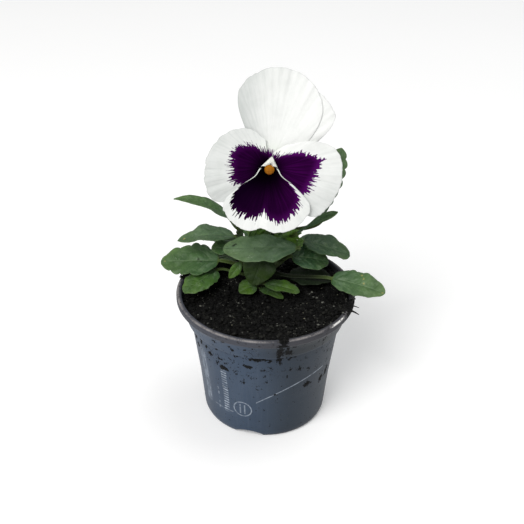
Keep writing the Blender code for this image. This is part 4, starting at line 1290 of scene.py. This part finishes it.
def stem_radii(stem):
    count = len(stem_line(stem))
    return [stem.radius * (1 - STEM_TAPER * (i / (count - 1)) ** 3) for i in range(count)]


def stem_at(name, height):
    """The stem's centre, direction and radius at a level, in millimetres."""
    line, radii = stem_line(STEMS[name]), stem_radii(STEMS[name])
    i = min(range(len(line) - 1), key=lambda k: abs((line[k].z + line[k + 1].z) / 2 - height))
    share = (height - line[i].z) / (line[i + 1].z - line[i].z)
    radius = radii[i] + (radii[i + 1] - radii[i]) * share
    return line[i].lerp(line[i + 1], share), (line[i + 1] - line[i]).normalized(), radius


def growth_point(stem, height, target):
    """Where a stalk that grows from a stem towards target begins, and which way it sets out."""
    centre, direction, radius = stem_at(stem, height)
    out = Vector(target) - centre
    out = (out - direction * out.dot(direction)).normalized()
    start = centre + out * (radius + STALK_GAP)
    return start, (out + (Vector(target) - start).normalized()).normalized()


def build_stems(finish):
    """The crown: the main stem and its two side shoots, a little thicker where leaves leave them."""
    joints = [(leaf.stem, leaf.height) for leaf in LEAVES.values()]
    joints += [("main", FLOWER_STALK_HEIGHT), ("main", BUD_HEIGHT)]
    lines = []
    for name, stem in STEMS.items():
        line = []
        for point, radius in zip(stem_line(stem), stem_radii(stem)):
            swell = sum(hill(point.z - level) for owner, level in joints if owner == name)
            line.append((point, radius * (1 + 0.16 * min(swell, 1.0))))
        lines.append(line)
    grown(add_object("crown", rods("crown", lines, 5), (finish,)), "green_stem", "crown_stems")
    start, heading = growth_point("main", FLOWER_STALK_HEIGHT, FLOWER_STALK.path[0])
    path = (start - heading * 0.8, start + heading * 2, *FLOWER_STALK.path)
    points = smooth_path(path, FLOWER_STALK_POINTS)
    line = [(point, FLOWER_STALK.radius) for point in points]
    grown(add_object("bloom_stalk", rods("bloom_stalk", [line], 5), (finish,)), "green_stem", "flower_stalk")


def half_width(leaf, look, b, side):
    """Half the blade's width in millimetres at b from 0 at its base to 1 at its tip. side 1 is towards +Y."""
    plain = math.sin(math.pi * b**look.skew) ** leaf.fullness if 0 < b < 1 else 0.0
    count = b * look.notches + 0.3 * side + 0.22 * math.sin(5 * b + 2 * side + leaf.tip[0])
    scallop = abs(math.sin(math.pi * count)) ** TOOTH_ROUNDNESS
    least = STALK_WIDTH / 2 * (1 - b) + TIP_HALF_WIDTH * b
    wide = leaf.width / 2 * (look.far if side else look.near)
    return max(wide * plain * (1 - look.scallop * (1 - scallop)), least)


def near_marks(marks, b, away, length, half):
    """How close a point of a blade is to the listed marks: (share along, share across, radius)."""
    total = 0.0
    for at, side, reach in marks:
        total += math.exp(-(((b - at) * length) ** 2 + ((away - side) * half) ** 2) / reach**2)
    return total


def bezier(p, t):
    return p[0] * (1 - t) ** 3 + p[1] * 3 * t * (1 - t) ** 2 + p[2] * 3 * t * t * (1 - t) + p[3] * t**3


def leaf_curves(leaf):
    """The stalk's and the midrib's control points, in millimetres, and the direction across the blade."""
    base, tip = Vector(leaf.base), Vector(leaf.tip)
    along = (tip - base).normalized()
    facing = Vector(leaf.facing)
    up = (facing - along * facing.dot(along)).normalized()
    third = (tip - base) / 3
    rise = up * leaf.arch * 4 / 3
    midrib = (base, base + third + rise, base + 2 * third + rise, tip)
    start, heading = growth_point(leaf.stem, leaf.height, base)
    reach = (base - start).length / 3
    stalk = (start, start + heading * reach, base - (midrib[1] - midrib[0]).normalized() * reach, base)
    return stalk, midrib, up.cross(along)


def heading_of(curve, t):
    ahead, behind = min(t + CURVE_STEP, 1.0), max(t - CURVE_STEP, 0.0)
    return (bezier(curve, ahead) - bezier(curve, behind)).normalized()


def stalk_place(look, curve, across, t, away):
    """A point of the channelled stalk."""
    heading = heading_of(curve, t)
    side = (across - heading * across.dot(heading)).normalized()
    lift = heading.cross(side)
    bend = math.radians(STALK_CURL) * away
    width = STALK_WIDTH / 2
    point = bezier(curve, t) + (side * math.sin(bend) + lift * (1 - math.cos(bend)) * 0.8) * width
    # painted shade: the stalk is painted darker towards the stem
    painted_stalk_shade = min(look.deep + look.shade * (1 - t) ** 0.7, 0.93)
    return Place(point, (t - 1.0, away, 0.0), (look.young, look.cool, look.pale), (0.0, painted_stalk_shade, 0.0), 0.95)


def blade_place(name, leaf, curve, across, b, away):
    """A point of the veined blade, with its waved edge, puffed fields and sunken veins."""
    look = LOOKS[name]
    heading = heading_of(curve, b)
    side = (across - heading * across.dot(heading)).normalized()
    lift = heading.cross(side)
    far = 1 if away * across.y > 0 else 0
    half = half_width(leaf, look, b, far)
    distance = abs(away) * half
    length = (Vector(leaf.tip) - Vector(leaf.base)).length
    seed = leaf.tip[0] * 1.3
    wander = 0.35 * cloudy(b * 3, away, seed)
    vein = (b - 0.8 * distance / length) * (leaf.teeth + 2) + wander + 0.4 * far
    off = abs(vein - round(vein))
    size = min(1.0, leaf.width / 15)
    fade = min(1.0, b * 8) * min(1.0, (1 - b) * 5) * (1 - look.deep)
    rise = math.tan(math.radians(leaf.fold)) * abs(away) * (1 + HALF_CURL - HALF_CURL * away * away) * half
    wave = 0.05 * half * away * away * math.sin(math.tau * look.notches * b * 0.5 + 0.2 + far)
    puff = VEIN_PUFF * math.sin(math.pi * off) * (1 - away**4) * min(1.0, distance / 2)
    sunk = VEIN_DEPTH * hill(off / VEIN_WIDTH) * (1 - away * away)
    sunk += MIDRIB_DEPTH * hill(distance / MIDRIB_WIDTH)
    lumps = 0.95 * cloudy(b * length / 7, away * half / 6, seed)
    lumps += 0.28 * cloudy(b * length / 2.2, away * half / 2.2, seed + 4)
    droop = look.droop * (1 - far) * away * away * math.sin(math.pi * b)
    height = rise + wave + (puff - sunk) * size * fade + lumps * min(1.0, distance / 2) * size - droop
    point = bezier(curve, b) + side * away * half + lift * height
    tables = (LEAF_SPOTS, LEAF_FLECKS, LEAF_HOLES)
    spot, fleck, hole = (near_marks(table.get(name, ()), b, away, length, half) for table in tables)
    rib = 0.75 * hill(distance / 0.5) * (1 - b)
    tone = (look.young, look.cool, look.pale)
    # painted shade: torn holes are painted as dark as the shade behind them
    deep = max(look.deep, 0.9 * held(hole * 3 - 1.2))
    thick = max(0.40 - 0.25 * away**4, rib)
    return Place(point, (b, away, vein), tone, (spot, deep, min(fleck, 1.0)), thick)


def build_leaf(name, leaf, finishes):
    stalk, midrib, across = leaf_curves(leaf)
    rows = STALK_ROWS + BLADE_ROWS

    def place(u, away):
        row = u * rows
        if row < STALK_ROWS - 0.5:
            return stalk_place(LOOKS[name], stalk, across, row / STALK_ROWS, away)
        return blade_place(name, leaf, midrib, across, min((row - STALK_ROWS) / BLADE_ROWS, 1.0), away)

    sheet = soft_sheet(name + "_leaf", rows, BLADE_COLUMNS, place, LEAF_THICKNESS, finishes)
    grown(sheet, "leaf_green", "leaf_" + name)


def build_frond(name, frond, finishes):
    """A small stipule or bract that wraps a stem."""
    knots = list(range(len(frond.path)))
    line = smooth_path(frond.path, FROND_ROWS + 1)
    facing = Vector(frond.facing)

    def place(u, away):
        step = round(u * FROND_ROWS)
        i = min(step, FROND_ROWS - 1)
        heading = (line[i + 1] - line[i]).normalized()
        side = facing.cross(heading).normalized()
        lift = heading.cross(side)
        half = max(smooth_between(knots, frond.halves, u * knots[-1]), 0.15)
        half *= 1 + 0.16 * math.sin(u * 29 + away * 3)
        ruffle = 0.12 * half * math.sin(u * 17 + away * 2)
        point = line[step] + side * away * half + lift * (frond.cup * half * away * away + ruffle)
        pattern = (0.1 + u * 0.9, away, u * 4)
        return Place(point, pattern, (frond.young, 0.0, 0.0), (0.0, frond.deep, 0.0), 0.5)

    grown(soft_sheet(name, FROND_ROWS, FROND_COLUMNS, place, FROND_THICKNESS, finishes), "leaf_green")


def face_matrix():
    """Places a shape made in the bloom's own frame: X to its right, Y up its face, Z forwards."""
    turn = Matrix.Rotation(math.radians(90 - FLOWER_TILT), 4, "X")
    return Matrix.Translation(Vector(FLOWER_CENTRE)) @ turn


def petal_relief(petal, r, share, angle):
    """How far in front of the throat's plane the petal is, in millimetres."""
    throat = -THROAT_DEPTH * hill(r / THROAT_RADIUS)
    wave = petal.ripple * share**3 * math.sin(petal.waves * math.radians(angle) + petal.phase)
    return petal.layer + throat + petal.lean * (r / LEAN_RADIUS) ** 2 + wave


def build_petal(name, petal, finishes):
    angles, radii = zip(*petal.outline)
    blotch_angles, blotch_radii = zip(*petal.blotch)
    middle, span = (angles[0] + angles[-1]) / 2, angles[-1] - angles[0]
    face = face_matrix()
    seed = 1.7 * (petal.layer > 0) * len(name) + petal.phase  # the two upper petals fold alike
    lower = name == "petal_lower"

    def place(share, v):
        angle = middle + v * span / 2
        edge = smooth_between(angles, radii, angle)
        edge += 0.5 * cloudy(angle * 0.16, seed, 0) + 0.3 * cloudy(angle * 0.5, seed, 3)
        r = CLAW_RADIUS + (edge - CLAW_RADIUS) * share
        if lower:
            spread = 1 + LOWER_SPREAD / (1 + (r / LOWER_NECK) ** 6)
        else:
            ease = min(share / CLAW_END, 1.0)
            spread = CLAW_SHARE + (1 - CLAW_SHARE) * ease * ease * (3 - 2 * ease)
        turned = middle + (angle - middle) * spread
        out = r / LEAN_RADIUS
        fold = petal.fold * out**2 * cloudy(angle * 0.085, r * 0.03, seed + 5)
        pleat = petal.fold * 0.35 * out**3 * cloudy(angle * 0.28, r * 0.02, seed + 9)
        dent = petal.fold * 0.5 * out * cloudy(angle * 0.05, r * 0.12, seed + 15)
        lip = 0.35 * abs(v) ** 14 if lower else 0.0
        roll = -0.9 * max(share - 0.86, 0) ** 2 * 30 * (0.4 + cloudy(angle * 0.07, seed, 12))
        z = petal_relief(petal, r, share, angle) + fold + pleat + dent + lip + roll
        point = face @ polar(r, math.radians(turned), z)
        inside = np.interp(turned, blotch_angles, blotch_radii) - r
        margin = (1 - abs(v)) * math.radians(span / 2) * r * spread if lower else 9.0
        dusk = np.interp(turned, (angles[0], angles[-1]), petal.dusk)
        # painted shade: how grey the white is painted here
        grey = np.interp(turned, *zip(*petal.grey)) * (0.3 + 0.7 * share)
        slope = (np.interp(turned + SLOPE_STEP, blotch_angles, blotch_radii) - inside - r) / SLOPE_STEP
        steep = 0.0 if lower else held(-slope * STEEP_SHARE, -1.0)
        black = math.exp(-((r / petal.throat) ** 3))
        thick = 1.0 - 0.75 * share**3
        return Place(point, (angle, r, inside), (margin, dusk, share), (grey, black, steep), thick)

    sheet = soft_sheet(name + "_soft", PETAL_ROWS, PETAL_COLUMNS, place, PETAL_THICKNESS, finishes)
    grown(sheet, "white_petal", name)


def build_spur(finishes):
    """The blunt spur that runs back from the lower petal's claw."""
    petal = PETALS["petal_lower"]
    face = face_matrix()
    front = petal_relief(petal, SPUR_DROP, 0.0, -90.0)
    line = []
    for share in np.linspace(0.0, 1.0, SPUR_POINTS):
        radius = SPUR_RADIUS * (1 - share**5 * 0.65) * (0.8 + 0.2 * min(share * 4, 1.0))
        point = Vector((0, -SPUR_DROP - 0.5 * share * share, front - SPUR_LENGTH * share))
        line.append((face @ point, radius))
    grown(add_object("petal_spur", rods("petal_spur", [line], 4), finishes), "white_petal")


def build_calyx(finishes):
    """The green cup and its five pointed sepals behind the petals."""
    profile = [
        (0.0, RECEPTACLE_BACK),
        (1.0, RECEPTACLE_BACK),
        (1.7, RECEPTACLE_BACK + 0.4),
        (RECEPTACLE_RADIUS, RECEPTACLE_BACK + 1.4),
        (RECEPTACLE_RADIUS, RECEPTACLE_FRONT - 0.7),
        (1.9, RECEPTACLE_FRONT - 0.2),
        (1.2, RECEPTACLE_FRONT),
        (0.0, RECEPTACLE_FRONT),
    ]
    shape = spun(profile, 40)
    face = face_matrix()
    pattern, tone = (shape.verts.layers.float_vector.new(kind) for kind in ("pattern", "tone"))
    for vertex in shape.verts:
        vertex.co = to_metres(face @ (vertex.co / MM))
        vertex[pattern] = (0.5, 0.5, 0.4)
        vertex[tone] = (0.6, 0.1, 0.0)
    grown(add_object("calyx_cup", mesh_from(shape, "calyx_cup"), finishes[:1]), "leaf_green", "calyx")
    for index, turn in enumerate(SEPAL_ANGLES):
        build_sepal(index, turn, face, finishes)


def build_sepal(index, turn, face, finishes):
    """One slim sepal with a short rounded lobe behind the cup."""
    about = Matrix.Rotation(math.radians(turn), 4, "Z")

    def place(share, away):
        s = share * (1 + SEPAL_LOBE) - SEPAL_LOBE
        if s < 0:
            half = SEPAL_WIDTH * 0.42 * (1 - (s / SEPAL_LOBE) ** 2 * 0.7)
            point = Vector((SEPAL_START + s * 3.0, away * half, SEPAL_ROOT + s * 9.0))
        else:
            half = SEPAL_WIDTH / 2 * max(math.sin(math.pi * (0.18 + 0.82 * s)) ** 0.9, 0.02)
            rise = SEPAL_ROOT + SEPAL_RISE * s + 0.35 * away * away
            rise -= 0.15 * math.exp(-((away * half) ** 2) * 6)
            point = Vector((SEPAL_START + (SEPAL_LENGTH - SEPAL_START) * s, away * half, rise))
        tone, thick = (0.55, 0.2, 0.0), 0.75 - 0.5 * away * away
        return Place(face @ about @ point, (max(s, 0.05), away, s * 4), tone, (0.0, 0.0, 0.0), thick)

    grown(soft_sheet(f"sepal_{index + 1}", 26, 8, place, 0.7, finishes), "leaf_green")


def build_eye(finish):
    """The pistil with its round head, the flower's orange eye."""
    front = RECEPTACLE_FRONT
    stalk = ((0.0, 0.35), (1.0, 0.35), (1.2, 1.4), (0.7, 3.0), (0.7, 4.6))
    profile = [(radius, front + height) for radius, height in stalk]
    for i in range(EYE_ROWS + 1):
        bend = math.radians(-65 + 155 * i / EYE_ROWS)
        radius = EYE_RADIUS * math.cos(bend) if i < EYE_ROWS else 0.0
        profile.append((radius, front + 6.5 + 1.35 * math.sin(bend)))
    shape = spun(profile, 36)
    pattern = shape.verts.layers.float_vector.new("pattern")
    face = face_matrix()
    for vertex in shape.verts:
        point = vertex.co / MM
        vertex[pattern] = (0.0, 0.0, held(0.6 + point.y * 0.22 + noise.noise(point) * 0.3))
        point += Vector((0.3, -0.35, 0)) * max(point.z - front - 3, 0) * 0.3
        point.z += 0.15 * noise.noise(point * 1.4)
        vertex.co = to_metres(face @ point)
    grown(add_object("orange_head", mesh_from(shape, "orange_head"), (finish,)), "orange_eye", "pistil")


def build_beard(finish):
    """Two tufts of white hairs at the side petals' claws, which meet in a peak over the eye."""
    draw = random.Random(5)
    face = face_matrix()
    lines = []
    for side, count in TUFTS:
        for _ in range(count):
            share = draw.random()
            peak, foot = Vector((1.4, 5.4, 1.0)), Vector((side * 3.6 + 0.3, 0.9 if side < 0 else 0.3, 0.6))
            root = foot.lerp(peak, share) + Vector((side * 0.15, 0.25, draw.uniform(-0.3, 0.3)))
            tip = Vector((0.4 + side * 1.6, 1.5, 1.5)).lerp(Vector((1.0, 3.0, 1.9)), share * 0.9)
            tip += Vector((draw.gauss(0, 0.3), draw.gauss(0, 0.3), draw.gauss(0, 0.25)))
            middle = root.lerp(tip, 0.5) + Vector((0, 0.15, 0.5))
            points = smooth_path((root, middle, tip), HAIR_POINTS)
            shares = np.linspace(0.0, 1.0, HAIR_POINTS)
            lines.append([(face @ p, HAIR_RADIUS * (1 - 0.6 * at)) for at, p in zip(shares, points)])
    grown(add_object("throat_beard", rods("throat_beard", lines, 0), (finish,)), "white_petal")


def build_bud(stem_skin, finishes):
    """A small closed bud on its stalk, wrapped in narrow sepals."""
    start, _ = growth_point("main", BUD_HEIGHT, BUD_STALK[0])
    stalk = [(p, 0.55) for p in smooth_path((start, *BUD_STALK), 12)]
    top = Vector(BUD_STALK[-1])
    body = ((-0.2, 0.5), (0.5, 1.0), (1.4, 1.3), (2.8, 1.35), (4.2, 1.0), (5.4, 0.3))
    lines = [stalk, [(top + UP * travel, radius) for travel, radius in body]]
    grown(add_object("bud", rods("bud", lines, 4), (stem_skin,)), "leaf_green", "flower_bud")
    for index in range(BUD_SEPALS):
        build_bud_sepal(index, top, finishes)


def build_bud_sepal(index, top, finishes):
    out = polar(1.0, math.tau * index / BUD_SEPALS)
    side = Vector((-out.y, out.x, 0))

    def place(share, away):
        reach = 1.1 + 0.55 * math.sin(math.pi * share)
        half = 1.0 * math.sin(math.pi * (0.2 + 0.78 * share)) ** 0.8
        point = top + out * reach * (1 - 0.12 * away * away) + side * away * half + UP * (share * 5.0)
        return Place(point, (max(share, 0.05), away, share * 3), (0.95, 0, 0.1), (0.0, 0.0, 0.0), 0.5)

    grown(soft_sheet(f"bud_sepal_{index + 1}", 12, 6, place, 0.5, finishes), "leaf_green")


def add_light(name, place, power, tint):
    """A round soft lamp at a place in millimetres, turned to the plant."""
    lamp = bpy.data.lights.new(name, "AREA")
    lamp.shape = "DISK"
    lamp.size = LAMP_SIZE
    lamp.energy = power
    lamp.color = tint
    obj = bpy.data.objects.new(name, lamp)
    obj.location = to_metres(place)
    obj.rotation_euler = (to_metres(LAMP_TARGET) - obj.location).to_track_quat("-Z", "Y").to_euler()
    bpy.context.scene.collection.objects.link(obj)


def build_stage():
    """A pale floor, soft studio light and the photograph's camera."""
    shape = bmesh.new()
    bmesh.ops.create_circle(shape, cap_ends=True, segments=96, radius=FLOOR_RADIUS)
    add_object("floor", mesh_from(shape, "floor"), (floor_finish(),))
    world = bpy.data.worlds.new("studio")
    world.use_nodes = True
    sky = world.node_tree.nodes["Background"]
    sky.inputs["Color"].default_value = (1.0, 1.0, 1.0, 1.0)
    sky.inputs["Strength"].default_value = SKY_STRENGTH
    scene = bpy.context.scene
    scene.world = world
    scene.view_settings.view_transform = "Standard"
    add_light("key", (-750, -1250, 1700), 37.0, (1.0, 0.99, 0.975))
    add_light("top", (500, 300, 1700), 9.0, (0.97, 0.99, 1.0))
    rise = math.radians(VIEW_ELEVATION)
    back = Vector((0, -math.cos(rise), math.sin(rise)))
    camera = bpy.data.objects.new("camera", bpy.data.cameras.new("camera"))
    camera.data.lens = LENS
    camera.data.sensor_width = SENSOR_WIDTH
    camera.location = to_metres(Vector(VIEW_TARGET) + back * VIEW_DISTANCE)
    aim = (-back).to_track_quat("-Z", "Y") @ Quaternion(UP, math.radians(VIEW_ROLL))
    camera.rotation_euler = aim.to_euler()
    scene.collection.objects.link(camera)
    scene.camera = camera


def main():
    leaf_skins = (leaf_finish("leaf_upper"), leaf_finish("leaf_under", under=True))
    bract_skins = (leaf_finish("bract_brightened", fresh_brightened=True),)
    petal_skins = (petal_finish("petal_front", False), petal_finish("petal_back", True))
    stem_skin = stem_finish()
    peat = soil_finish()
    build_stage()
    build_pot(pot_finish())
    build_soil(peat)
    build_crumbs(peat)
    build_stuck_soil(peat)
    build_fibres(peat)
    build_stems(stem_skin)
    for name, leaf in LEAVES.items():
        build_leaf(name, leaf, leaf_skins)
    for name, frond in FRONDS.items():
        build_frond(name, frond, bract_skins)
    for name, petal in PETALS.items():
        build_petal(name, petal, petal_skins)
    build_spur((petal_skins[1],))
    build_calyx(leaf_skins)
    build_eye(eye_finish())
    build_beard(beard_finish())
    build_bud(stem_skin, bract_skins)


main()
